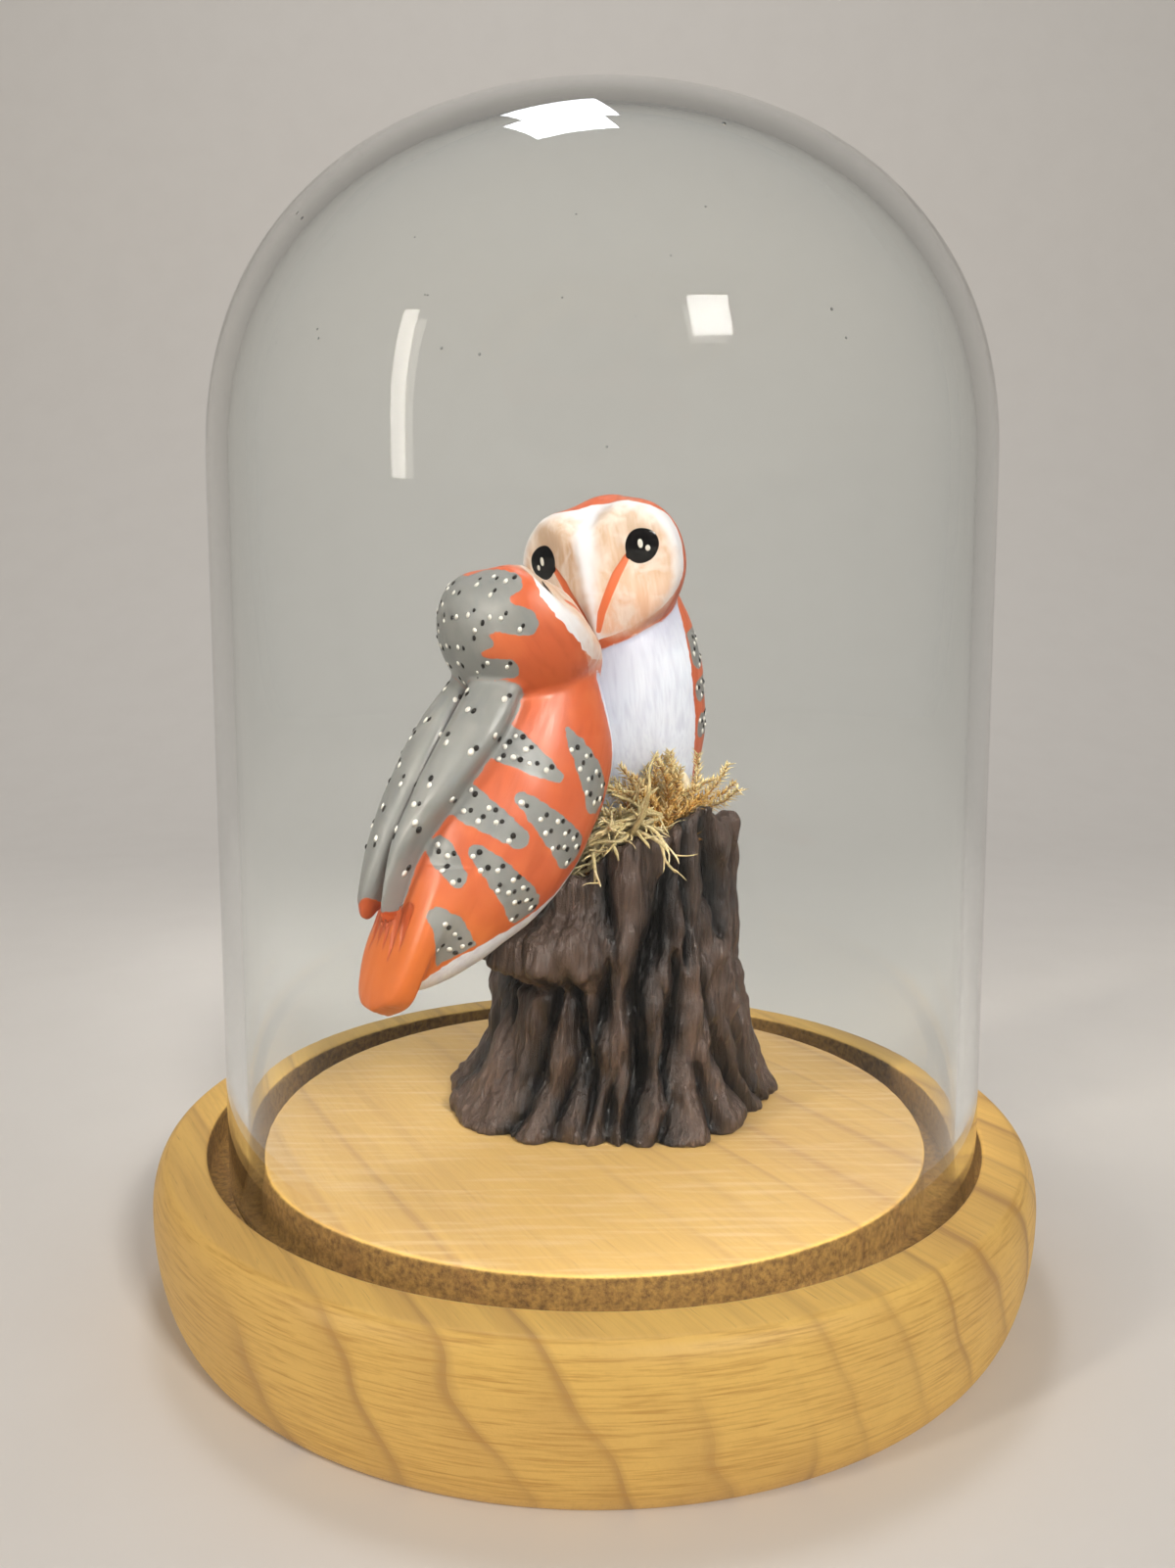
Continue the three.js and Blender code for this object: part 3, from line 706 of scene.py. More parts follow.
class OWLS_OT_glass_dome(bpy.types.Operator):
    """Blows the glass dome that stands in the groove of the base"""

    bl_idname = "clay_owls.glass_dome"
    bl_label = "Glass Dome"

    TUBE_TOP = 123.5  # where the straight tube ends and the cap begins
    ROUNDNESS = 0.877  # 1 is an ellipse, less is fuller
    SEGMENTS = 224
    CAP_STEPS = 44

    def cap(self, radius, rise):
        """Quarter profile of the cap, from the tube up to the middle."""
        angles = np.linspace(0, math.pi / 2, self.CAP_STEPS + 1)
        across = radius * np.maximum(np.cos(angles), 0) ** self.ROUNDNESS
        across[-1] = 0
        return list(zip(across, self.TUBE_TOP + rise * np.sin(angles) ** self.ROUNDNESS))

    def bubbles(self, settings, radius, rise, middle):
        """Tiny hollows in the wall, most of them in the cap."""
        chance = np.random.default_rng(20)
        heap = Heap()
        wall = settings.wall / MM
        for _ in range(settings.bubbles):
            lift = chance.uniform(0.25, 1.35)
            bearing = chance.uniform(0, 2 * math.pi)
            depth = wall * chance.uniform(0.35, 0.65)
            across = (radius - depth) * math.cos(lift) ** self.ROUNDNESS
            height = self.TUBE_TOP + (rise - depth) * math.sin(lift) ** self.ROUNDNESS
            centre = np.array([middle + across * math.cos(bearing), across * math.sin(bearing), height])
            size = chance.uniform(0.12, 0.3)
            rows = np.linspace(0, math.pi, 7)
            points, faces = lathe([(size * math.sin(a), size * math.cos(a)) for a in rows], 10)
            heap.add(points + centre, faces)
        return heap

    def execute(self, context):
        settings = context.scene.owls_dome
        low, high = node_box("glass_dome")
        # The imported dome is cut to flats, so its width is measured along the flats' corners.
        radius = (high[1] - low[1]) / 2
        radius = max(radius, 60.0)
        middle = (low[0] + high[0]) / 2
        rise = high[2] - self.TUBE_TOP
        wall = settings.wall / MM
        foot = low[2]
        inner = radius - wall
        half = wall / 2
        lip = [
            (radius - half - half * math.cos(a), foot + half - half * math.sin(a))
            for a in np.linspace(0.15, math.pi - 0.15, 13)
        ]
        tube = np.linspace(foot + half, self.TUBE_TOP, 12)
        outer_cap = self.cap(radius, rise)
        inner_cap = self.cap(inner, rise - wall)
        profile = list(reversed(inner_cap)) + [(inner, z) for z in reversed(tube[:-1])]
        profile += lip + [(radius, z) for z in tube[:-1]] + outer_cap
        points, faces = lathe(profile, self.SEGMENTS)
        points[:, 0] += middle
        piece = make_piece("dome_glass", points, faces, blown_glass(settings), "dome")
        weld(piece)
        seeds = self.bubbles(settings, radius, rise, middle)
        if seeds.points:
            hollow = make_piece(
                "dome_seeds", seeds.points, seeds.faces, piece.data.materials[0], "dome"
            )
            weld(hollow)
            hollow.data.flip_normals()
            with context.temp_override(
                active_object=piece, selected_editable_objects=[piece, hollow], selected_objects=[piece,
                    hollow]
            ):
                bpy.ops.object.join()
        piece.visible_shadow = False
        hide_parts("glass_dome")
        return {"FINISHED"}


# ---------------------------------------------------------------- stump


class StumpSettings(bpy.types.PropertyGroup):
    """Modelled clay tree stump."""

    fineness: FloatProperty(
        name="Fineness",
        description="Size of the smallest tool mark that the surface keeps",
        default=0.00034,
        min=0.0002,
        max=0.002,
        unit="LENGTH",
        subtype="DISTANCE",
    )
    groove_depth: FloatProperty(
        name="Groove Depth",
        description="How deep the bark's grooves are pressed, against the usual depth",
        default=1.25,
        min=0.0,
        max=2.0,
        subtype="FACTOR",
    )
    clay: FloatVectorProperty(
        name="Clay",
        description="Colour of the dark brown clay",
        default=linear("#291D17"),
        size=3,
        min=0,
        max=1,
        subtype="COLOR",
    )
    # Paler colour for the crests of the ribs: a painted sheen.
    sheen: FloatVectorProperty(
        name="Painted Sheen on Ribs",
        description="Colour of the paler, rubbed crests of the bark",
        default=linear("#5F4B40"),
        size=3,
        min=0,
        max=1,
        subtype="COLOR",
    )


STUMP_FOOT_MIDDLE = (2.6, 7.0)
STUMP_FOOT = (29.9, 26.4)  # half-sizes of the oval foot
STUMP_MIDDLE = (4.2, 7.0)
STUMP_WAIST = (22.1, 21.2)  # half-sizes of the trunk above the roots
STUMP_FLARE = 8.2  # height over which the roots spread
STUMP_TOP = 48.0  # height of the top over the disc
STUMP_HOLLOW = 1.6
BURL = {"bearing": 226, "spread": 30, "height": 28.5, "reach": 6.4, "thickness": 5.2}

# Deep grooves at the front: bearing at the lower and the upper end in degrees, lower and upper
# height, depth and half-width in millimetres.
FRONT_GROOVES = [
    (-133, -123, -3, 10, 2.2, 1.0),
    (-127, -121, 2, 24, 3.2, 1.3),
    (-113, -108, -2, 15, 2.0, 0.9),
    (-104, -110, 9, 24, 3.0, 1.1),
    (-101, -97, 3, 26, 3.0, 1.1),
    (-92, -90, -2, 9, 2.6, 1.2),
    (-84, -79, 2, 29, 4.6, 1.3),
    (-80, -63, 25, 42, 5.0, 1.6),
    (-69, -63, 8, 27, 3.4, 1.0),
    (-72, -66, -2, 6, 2.4, 0.9),
    (-58, -54, 28, 50, 3.2, 1.0),
    (-93, -99, 31, 47, 2.4, 1.1),
    (-46, -50, 12, 32, 1.6, 0.8),
    (-33, -41, 32, 48, 5.4, 1.7),
    (-26, -41, -2, 14, 3.4, 1.2),
    (-10, -28, -2, 15, 3.0, 1.1),
    (-22, -18, 18, 44, 2.0, 1.0),
    (-52, -54, -2, 9, 2.4, 1.0),
]
SIDE_GROOVES = 26  # round the rest of the stump
# Tips of the rim: bearing, rise, and spread in degrees before and after the tip.
HORNS = [(-37, 3.9, 17, 5), (-14, 1.4, 9, 12), (-118, 1.6, 7, 7)]
ROOT_LOBES = [(-38, 3.2, 2.2, 9.0, 2.6), (196, 3.6, 2.4, 7.0, 3.6), (96, 3.0, 1.8, 10.0, 2.6)]


def stump_top(x, y):
    """Height of the stump's cut top over the disc: it falls away to the left and the back."""
    left = 0.84 * soft_max(5.5 - x, 0 * x, 8)
    back = 0.6 * soft_max(y - 17, 0 * y, 6)
    return STUMP_TOP - left - back


def bark(angle, height):
    """Broad grooves of the bark: 0 on the ribs, 1 in the bottom of a groove."""
    sway = 0.1 * np.sin(height * 0.13 + angle * 3) + 0.045 * np.sin(height * 0.37 + angle * 7 + 1)
    broad = np.abs(np.sin((angle + sway) * 5.5 + 0.6)) ** 0.8
    fine = np.abs(np.sin((angle - 0.7 * sway) * 12 + 1.1)) ** 0.8
    swell = 0.5 + 0.5 * np.sin(height * 0.21 + angle * 5)
    return 1 - 0.62 * broad - (0.25 + 0.13 * swell) * fine


def bearing_from(angle, degrees):
    """Angle from a bearing, wrapped to half a turn either way."""
    return (angle - math.radians(degrees) + math.pi) % (2 * math.pi) - math.pi


def bark_grooves(angle, height, depth_factor):
    """Depth of the pressed grooves, which wander, deepen and fade up the bark."""
    chance = np.random.default_rng(5)
    grooves = list(FRONT_GROOVES)
    for i in range(SIDE_GROOVES):
        bearing = 2 + i * (220 / SIDE_GROOVES) + chance.uniform(-2.5, 2.5)
        low = chance.uniform(-4, 26)
        high = low + chance.uniform(14, 30)
        lean = chance.uniform(-9, 9)
        deep, half = chance.uniform(1.6, 4.2), chance.uniform(0.8, 1.4)
        grooves.append((bearing, bearing + lean, low, high, deep, half))
    total = np.zeros_like(angle)
    for number, (low_bearing, high_bearing, low, high, deep, half) in enumerate(grooves):
        t = np.clip((height - low) / (high - low), 0, 1)
        bearing = low_bearing + (high_bearing - low_bearing) * t
        bearing += 1.8 * np.sin(height * 0.24 + number * 1.9) * np.clip(t * 4, 0, 1)
        across = (angle - np.radians(bearing) + math.pi) % (2 * math.pi) - math.pi
        across = across * 21.5 / (half * (0.8 + 0.5 * np.sin(math.pi * t)))
        fade = smooth_step((height - low) / 6 + 0.8) * smooth_step((high - height) / 6 + 0.8)
        waver = 0.88 + 0.14 * np.sin(height * 0.55 + number * 2.3)
        total = np.maximum(total, deep * fade * waver * np.exp(-np.abs(across) ** 1.15))
    return total * depth_factor


def stump_side(angle, height, depth_factor):
    """Distance of the stump's side from its middle line."""
    cos, sin = np.cos(angle), np.sin(angle)
    waist = 1 / np.hypot(cos / STUMP_WAIST[0], sin / STUMP_WAIST[1])
    foot = 1 / np.hypot(cos / STUMP_FOOT[0], sin / STUMP_FOOT[1])
    flare = np.exp(-np.maximum(height, 0) / STUMP_FLARE)
    reach = (waist + (foot - waist) * flare) * (1 + 0.05 * np.sin(angle * 5 + 0.9) * flare)
    reach -= (1.5 + 1.1 * (1 - flare)) * bark(angle, height) + 0.05 * np.maximum(height - 20, 0)
    around = np.exp(-((bearing_from(angle, BURL["bearing"]) / math.radians(BURL["spread"])) ** 2))
    level = (height - BURL["height"]) / BURL["thickness"]
    level = np.where(level < 0, level * 1.35, level)
    lumps = 1 + 0.16 * np.sin(angle * 19 + 0.6) * np.cos(height * 0.35)
    burl = BURL["reach"] * around * np.exp(-(level**4)) * lumps
    grooves = bark_grooves(angle, height, depth_factor)
    reach += burl - grooves * (1 - 0.75 * np.clip(burl / 3, 0, 1))
    # Crease pressed in under the burl.
    reach -= 1.5 * around * np.exp(-(((height - 22.6) / 0.9) ** 2))
    for bearing, rise, out, spread, tall in ROOT_LOBES:
        near = bearing_from(angle, bearing) / math.radians(spread)
        reach += out * np.exp(-(near**2) - ((height - rise) / tall) ** 2)
    # Fine lengthwise tool marks.
    fine = np.sin(angle * 61 + 1.7 * np.sin(height * 0.31)) * np.sin(angle * 37 - height * 0.12 + 2)
    reach += 0.2 * fine + 0.16 * (0.5 - np.abs(np.sin(angle * 56 + 0.9 * np.sin(height * 0.3 + angle * 4))))
    foot_edge = np.clip(1 - height / 1.6, 0, 1)
    return reach - 0.9 * foot_edge**2


def stump_rim(angle, depth_factor):
    """Height of the rim over the disc, where each rib of the bark ends in a rounded tip."""
    x = STUMP_MIDDLE[0] + STUMP_WAIST[0] * np.cos(angle)
    y = STUMP_MIDDLE[1] + STUMP_WAIST[1] * np.sin(angle)
    horns = np.zeros_like(angle)
    for bearing, rise, before, after in HORNS:
        away = np.degrees(bearing_from(angle, bearing))
        horns += rise * np.exp(-((away / np.where(away < 0, before, after)) ** 2))
    notches = 0.3 * bark_grooves(angle, np.full_like(angle, STUMP_TOP - 4.0), depth_factor)
    teeth = 2.2 * (0.5 - bark(angle, np.full_like(angle, STUMP_TOP)))
    return stump_top(x, y) + horns + (teeth - notches) * (1 - 0.75 * smooth_step(horns / 2.5))


def stump_volume(depth_factor):
    """The stump's volume as a function of points in the whole object's frame."""
    turns, rows, height_step = 1440, 300, 0.25
    angles = np.arange(turns) * 2 * math.pi / turns
    heights = np.arange(rows) * height_step - 5
    side = stump_side(
        np.repeat(angles, rows), np.tile(heights, turns), depth_factor
    ).reshape(turns, rows).astype(np.float32)
    rim = stump_rim(angles, depth_factor).astype(np.float32)

    def volume(points):
        height = points[:, 2] - DISC_HEIGHT
        flare = np.exp(-np.maximum(height, 0) / STUMP_FLARE)
        x = points[:, 0] - (STUMP_MIDDLE[0] + (STUMP_FOOT_MIDDLE[0] - STUMP_MIDDLE[0]) * flare)
        y = points[:, 1] - (STUMP_MIDDLE[1] + (STUMP_FOOT_MIDDLE[1] - STUMP_MIDDLE[1]) * flare)
        turn = (np.arctan2(y, x) / (2 * math.pi) * turns) % turns
        i = turn.astype(int) % turns
        part = turn - np.floor(turn)
        level = np.clip((height + 5) / height_step, 0, rows - 1.001)
        k = level.astype(int)
        up = level - k
        j = (i + 1) % turns
        reach = (side[i, k] * (1 - part) + side[j, k] * part) * (1 - up)
        reach += (side[i, k + 1] * (1 - part) + side[j, k + 1] * part) * up
        radius = np.hypot(x, y)
        wall = (radius - reach) * 0.85
        edge = rim[i] * (1 - part) + rim[j] * part
        inner = stump_top(points[:, 0], points[:, 1]) - STUMP_HOLLOW
        near_rim = smooth_step((radius / reach - 0.72) / 0.2)
        top = (height - (inner + (edge - inner) * near_rim)) * 0.8
        whole = soft_max(wall, top, 1.3)
        return soft_max(whole, -(height - 0.02), 0.5)

    return volume


def stump_material(settings):
    """Polymer clay, tooled and waxed: dark brown, satin, a painted sheen on the ribs, painted shade in grooves.
    """
    material, tree = new_material("Polymer Clay, tooled brown")
    # Tool strokes run up the bark: 0.5 mm apart and about 7 mm long.
    strokes = add_node(
        tree,
        "ShaderNodeTexNoise",
        {"Vector": place_in_mm(tree, (0.5, 0.5, 7)), "Scale": 1.0, "Detail": 4.0, "Distortion": 0.8},
    ).outputs["Fac"]
    patches = add_node(
        tree, "ShaderNodeTexNoise", {"Vector": place_in_mm(tree, (7, 7, 14)), "Scale": 1.0, "Detail": 3.0}
    ).outputs["Fac"]
    grain = add_node(
        tree, "ShaderNodeTexNoise", {"Vector": place_in_mm(tree), "Scale": 3.0, "Detail": 3.0}
    ).outputs["Fac"]
    crest = add_node(tree, "ShaderNodeAttribute", attribute_name="crest").outputs["Fac"]
    # The crests of the ribs are painted paler along the tool strokes: a painted sheen.
    painted_sheen = add_node(
        tree, "ShaderNodeMath", {0: strokes, 1: 0.9, 2: crest}, operation="MULTIPLY_ADD"
    ).outputs[0]
    painted_sheen = add_node(
        tree, "ShaderNodeMapRange", {"Value": painted_sheen, "From Min": 1.0, "From Max": 1.55, "To Max": 0.85}
    ).outputs[0]
    # Near black deep in the grooves: painted shade.
    deep = add_node(
        tree, "ShaderNodeMapRange", {"Value": crest, "From Min": 0.58, "From Max": 0.12, "To Max": 0.97}
    ).outputs[0]
    warm = add_node(
        tree, "ShaderNodeMapRange", {"Value": patches, "From Min": 0.45, "From Max": 0.7, "To Max": 0.7}
    ).outputs[0]
    colour = painted_over(tree, tuple(settings.clay), linear("#38291F"), warm)
    colour = painted_over(tree, colour, tuple(settings.sheen), painted_sheen)
    colour = painted_over(tree, colour, linear("#060404"), deep)
    rough = add_node(
        tree, "ShaderNodeMapRange", {"Value": patches, "From Min": 0.3, "From Max": 0.7, "To Min": 0.28,
            "To Max": 0.48}
    ).outputs[0]
    relief = add_node(
        tree, "ShaderNodeMath", {0: grain, 1: 0.25, 2: strokes}, operation="MULTIPLY_ADD"
    ).outputs[0]
    bump = add_node(tree, "ShaderNodeBump", {"Height": relief, "Strength": 0.8, "Distance": 0.5 * MM})
    shader = add_node(
        tree,
        "ShaderNodeBsdfPrincipled",
        {"Base Color": colour, "Roughness": rough, "Normal": bump.outputs[0], "IOR": 1.5},
    )
    finish_material(tree, shader)
    return material


class OWLS_OT_tree_stump(bpy.types.Operator):
    """Models the clay stump, with its grooves, roots and burl, hollowed where the owls press on it"""

    bl_idname = "clay_owls.tree_stump"
    bl_label = "Tree Stump"

    def execute(self, context):
        settings = context.scene.owls_stump
        step = settings.fineness / MM
        low, high = node_box("tree_stump")
        low, high = low - (3, 3, 0.5), high + (3, 3, 9)
        clay = Clay(low, high, step)
        clay.press_on(low, high, stump_volume(settings.groove_depth), 0.1)
        for owl in (OWL_A, OWL_B):
            for part in ("trunk", "wing_right", "wing_left", "tail"):
                reach = node_box(f"{owl.name}_{part}")
                near, far = np.maximum(reach[0] - 1, low), np.minimum(reach[1] + 1, high)
                if (near < far).all():
                    clay.cut_away(near, far, lambda p, o=owl, q=part: o.part_volume(q, p) - 0.05, 0.15)
        points, faces = clay.skin()
        rough = points.astype(np.float32)
        lumps = 0.34 * hand_marks(rough * (1, 1, 0.45), 3.1, seed=40, waves=12)
        lumps += 0.13 * hand_marks(rough * (1, 1, 0.4), 1.3, seed=41, waves=12)
        points = points + point_normals(points, faces) * np.where(rough[:, 2] > DISC_HEIGHT + 0.4, lumps,
            0)[:, None]
        piece = make_piece(
            "stump_clay", points, faces.tolist(), stump_material(settings), "base"
        )
        # How far each point stands out: 0 deep in a groove, 1 on a rib.
        height = points[:, 2] - DISC_HEIGHT
        flare = np.exp(-np.maximum(height, 0) / STUMP_FLARE)
        x = points[:, 0] - (STUMP_MIDDLE[0] + (STUMP_FOOT_MIDDLE[0] - STUMP_MIDDLE[0]) * flare)
        y = points[:, 1] - (STUMP_MIDDLE[1] + (STUMP_FOOT_MIDDLE[1] - STUMP_MIDDLE[1]) * flare)
        angle = np.arctan2(y, x)
        sunk = bark_grooves(angle, height, settings.groove_depth) + 1.1 * bark(angle, height)
        store(piece, "crest", np.clip(1 - sunk / 3.2, 0, 1))
        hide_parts("tree_stump")
        return {"FINISHED"}


# ---------------------------------------------------------------- moss


class MossSettings(bpy.types.PropertyGroup):
    """Dry moss and lichen round the owls' feet."""

    strands: IntProperty(
        name="Lichen Strands",
        description="How many pale branching strands lie over the front edge",
        default=105,
        min=0,
        max=400,
    )
    fronds: IntProperty(
        name="Moss Fronds",
        description="How many feathery golden stems are tried on the right",
        default=70,
        min=0,
        max=200,
    )
    lichen: FloatVectorProperty(
        name="Lichen",
        description="Colour of the bleached lichen",
        default=linear("#DCCBA0"),
        size=3,
        min=0,
        max=1,
        subtype="COLOR",
    )
    gold: FloatVectorProperty(
        name="Dry Moss",
        description="Colour of the golden dry moss",
        default=linear("#CC9E4C"),
        size=3,
        min=0,
        max=1,
        subtype="COLOR",
    )


def dry_plant(name, pale, middle, dark):
    """Dry preserved plant: matt, each strand its own tone, a little light passing through."""
    material, tree = new_material(name)
    tint = add_node(tree, "ShaderNodeAttribute", attribute_name="tint").outputs["Fac"]
    tone = add_node(
        tree,
        "ShaderNodeValToRGB",
        {"Fac": tint},
        stops=[(0.0, dark), (0.4, middle), (1.0, pale)],
    ).outputs["Color"]
    # Specks are about 0.4 mm across.
    speck = add_node(
        tree, "ShaderNodeTexNoise", {"Vector": place_in_mm(tree, (0.4, 0.4, 0.4)), "Scale": 1.0,
            "Detail": 2.0}
    ).outputs["Fac"]
    speckled = add_node(
        tree, "ShaderNodeMapRange", {"Value": speck, "From Min": 0.45, "From Max": 0.7, "To Max": 0.45}
    ).outputs[0]
    colour = painted_over(tree, tone, dark, speckled)
    bump = add_node(tree, "ShaderNodeBump", {"Height": speck, "Strength": 0.5, "Distance": 0.1 * MM})
    shader = add_node(
        tree,
        "ShaderNodeBsdfPrincipled",
        {
            "Base Color": colour,
            "Roughness": 0.85,
            "IOR": 1.4,
            "Normal": bump.outputs[0],
            "Subsurface Weight": 0.15,
            "Subsurface Radius": (0.4 * MM, 0.3 * MM, 0.15 * MM),
        },
    )
    finish_material(tree, shader)
    return material


def plant_piece(name, heap, material):
    """A heap of strands as one piece, with each strand's UVs gathered at its own root's place."""
    piece = make_piece(name, heap.points, heap.faces, material, "base")
    store(piece, "tint", heap.tints)
    roots = np.array(heap.roots)
    spread = np.array([[4.0, 3.0]])  # middle of the moss bed
    place = 0.5 + (roots - spread) / 70
    lift = np.asarray(heap.points)
    patch = 0.0015 * np.stack([np.sin(lift[:, 0] * 2 + lift[:, 2]), np.cos(lift[:, 1] * 2 - lift[:, 2])], 1)
    uv = np.clip(place + patch, 0.001, 0.999)
    corners = np.zeros(len(piece.data.loops), int)
    piece.data.loops.foreach_get("vertex_index", corners)
    layer = piece.data.uv_layers.new(name="OFBake")
    layer.uv.foreach_set("vector", uv[corners].ravel())
    return piece


def wandering_path(chance, start, aim, length, steps, wander, droop):
    """A path that sets off along aim, wanders, and bends down by its droop."""
    path = [np.array(start, float)]
    heading = np.array(aim, float)
    for _ in range(steps):
        heading = heading / np.linalg.norm(heading)
        path.append(path[-1] + heading * length / steps)
        heading = heading + chance.normal(size=3) * wander - np.array([0, 0, droop])
    return np.array(path)


def clear_of_owls(points, gap):
    """Which points are clear of both owls by the gap."""
    points = np.asarray(points, np.float32).reshape(-1, 3)
    clear = np.full(len(points), True)
    for owl in (OWL_A, OWL_B):
        for part in ("trunk", "head", "wing_right", "wing_left"):
            clear &= owl.part_volume(part, points) >= gap
    return clear


class OWLS_OT_moss(bpy.types.Operator):
    """Lays the bed of moss crumbs, the pale lichen strands and the golden fronds"""

    bl_idname = "clay_owls.moss"
    bl_label = "Moss and Lichen"

    def ground(self, x, y):
        """Height of the stump's top, over the base's underside."""
        return float(stump_top(np.array(x), np.array(y))) - STUMP_HOLLOW + DISC_HEIGHT

    def bed(self):
        """Cushion of moss crumbs that fills the hollow top round the owls."""
        rings, spokes = 30, 90
        points, faces = [], []
        for i in range(rings + 1):
            t = i / rings
            for j in range(spokes):
                a = 2 * math.pi * j / spokes
                x = 5.5 + 14.6 * t * math.cos(a)
                y = 4.5 + 13.9 * t * math.sin(a)
                lump = 0.5 * math.sin(x * 1.7 + 1) * math.cos(y * 1.9) + 0.35 * math.sin(x * 4.1 + y * 3.7)
                thick = 2.6 * (1 - t**3) + lump * (1 - t)
                points.append((x, y, self.ground(x, y) + thick - 0.6))
        for i in range(rings):
            for j in range(spokes):
                k = (j + 1) % spokes
                faces.append((i * spokes + j, (i + 1) * spokes + j, (i + 1) * spokes + k, i * spokes + k))
        under = len(points)
        points.append((5.5, 4.5, self.ground(5.5, 4.5) - 2.5))
        for j in range(spokes):
            faces.append((rings * spokes + (j + 1) % spokes, rings * spokes + j, under))
        return points, faces

    def crumbs(self, chance, heap):
        """Short bent crumbs of moss standing in all directions over the bed."""
        count = 3000
        turn, t = chance.uniform(0, 2 * math.pi, count), np.sqrt(chance.uniform(0, 1, count))
        x, y = 5.5 + 14.2 * t * np.cos(turn), 4.5 + 13.5 * t * np.sin(turn)
        z = stump_top(x, y) - STUMP_HOLLOW + DISC_HEIGHT + 2.2 * (1 - t**3) - 0.3
        bases = np.stack([x, y, z], 1)
        # A crumb needs clay under it, so that none hangs in a groove of the bark.
        on_top = self.stump(bases - (0, 0, 3.0)) < -0.5
        for base in bases[clear_of_owls(bases, -0.6) & on_top]:
            aim = chance.normal(size=3) * (1, 1, 0.6) + (0, 0, 0.7)
            heap.spike(base, aim, chance.uniform(0.9, 2.4), chance.uniform(0.25, 0.5), chance.uniform(0,
                1), base[:2])

    def laid_on_stump(self, path, radius):
        """The path, pushed up and outward wherever it would run into the stump."""
        away = path - (STUMP_MIDDLE[0], STUMP_MIDDLE[1], 0)
        away[:, 2] = 0
        away /= np.linalg.norm(away, axis=1)[:, None]
        for _ in range(3):
            sunk = np.maximum(radius + 0.1 - self.stump(path), 0)
            path = path + sunk[:, None] * (0.5 * away + (0, 0, 0.85))
        return path

    def strand(self, chance, heap, start, aim, length, radius, depth):
        """One lichen strand with forks, thinner at each."""
        steps = max(int(length / 0.9), 4)
        path = self.laid_on_stump(wandering_path(chance, start, aim, length, steps, 0.13, 0.05), radius)
        blocked = np.flatnonzero(~clear_of_owls(path[1:], 0.15))
        path = path[: blocked[0] + 1] if len(blocked) else path
        if len(path) < 4:
            return
        t = np.linspace(0, 1, len(path))
        radii = radius * (1 - 0.5 * t) * (1 + 0.12 * np.sin(t * 9))
        radii[-1] *= 0.45
        tint = chance.uniform(0.45, 1.0)
        heap.tube(path, radii, 6, tint, start[:2])
        if depth == 0:
            return
        for _ in range(chance.integers(1, 3)):
            k = chance.integers(len(path) // 3, len(path) - 1)
            side = path[k] - path[k - 1] + chance.normal(size=3) * 0.65 * length / steps
            self.strand(chance, heap, path[k], side, length * chance.uniform(0.4, 0.65), radii[k] * 0.85,
                depth - 1)

    def lichen(self, count):
        """Strands over the front edge, thickest between the two owls."""
        chance = np.random.default_rng(12)
        heap = Heap()
        for i in range(count):
            # They lie along the front rim, from the left slope round to the front right.
            bearing = math.radians(chance.uniform(-142, -66))
            t = chance.uniform(0.5, 0.93)
            x = STUMP_MIDDLE[0] + t * 19.5 * math.cos(bearing)
            y = STUMP_MIDDLE[1] + t * 18.5 * math.sin(bearing)
            start = np.array([x, y, self.ground(x, y) + chance.uniform(1.8, 4.6)])
            if not clear_of_owls(start, 0.2)[0]:
                continue
            out = np.array([math.cos(bearing), math.sin(bearing), 0.0])
            # The horn of the rim, on the right, is left bare.
            rightmost = min(1.6, (-76 - math.degrees(bearing)) / 10)
            swing = np.array([-out[1], out[0], 0.4]) * chance.uniform(-1.6, rightmost)
            aim = out * chance.uniform(-0.1, 0.6) + swing + np.array([0, 0, chance.uniform(-0.1, 0.7)])
            self.strand(chance, heap, start, aim, chance.uniform(6, 11.5), chance.uniform(0.36, 0.56), 2)
        return heap

    def frond(self, chance, heap, start, aim, length, tint):
        """One feathery stem, ringed all the way up with tiny pointed leaves."""
        steps = 14
        path = self.laid_on_stump(wandering_path(chance, start, aim, length, steps, 0.13, 0.02), 1.0)
        heap.tube(path, np.linspace(0.2, 0.08, steps + 1), 5, tint * 0.6, start[:2])
        leaves = int(length * 7)
        for i in range(leaves):
            t = (i + 0.5) / leaves
            k = min(int(t * steps), steps - 1)
            along_stem = path[k + 1] - path[k]
            along_stem = along_stem / np.linalg.norm(along_stem)
            base = path[k] + (path[k + 1] - path[k]) * (t * steps - k)
            turn = i * 2.4 + chance.uniform(-0.4, 0.4)
            across = np.cross(along_stem, (0.3, 0.5, 0.8))
            across /= np.linalg.norm(across)
            over = np.cross(along_stem, across)
            out = math.cos(turn) * across + math.sin(turn) * over
            size = 2.6 * (1 - 0.5 * t) * chance.uniform(0.7, 1.2)
            leaf_tint = np.clip(tint + chance.uniform(-0.2, 0.25) + 0.75 * t, 0, 1)
            heap.spike(base, along_stem * 0.85 + out, size, 0.5, leaf_tint, start[:2])

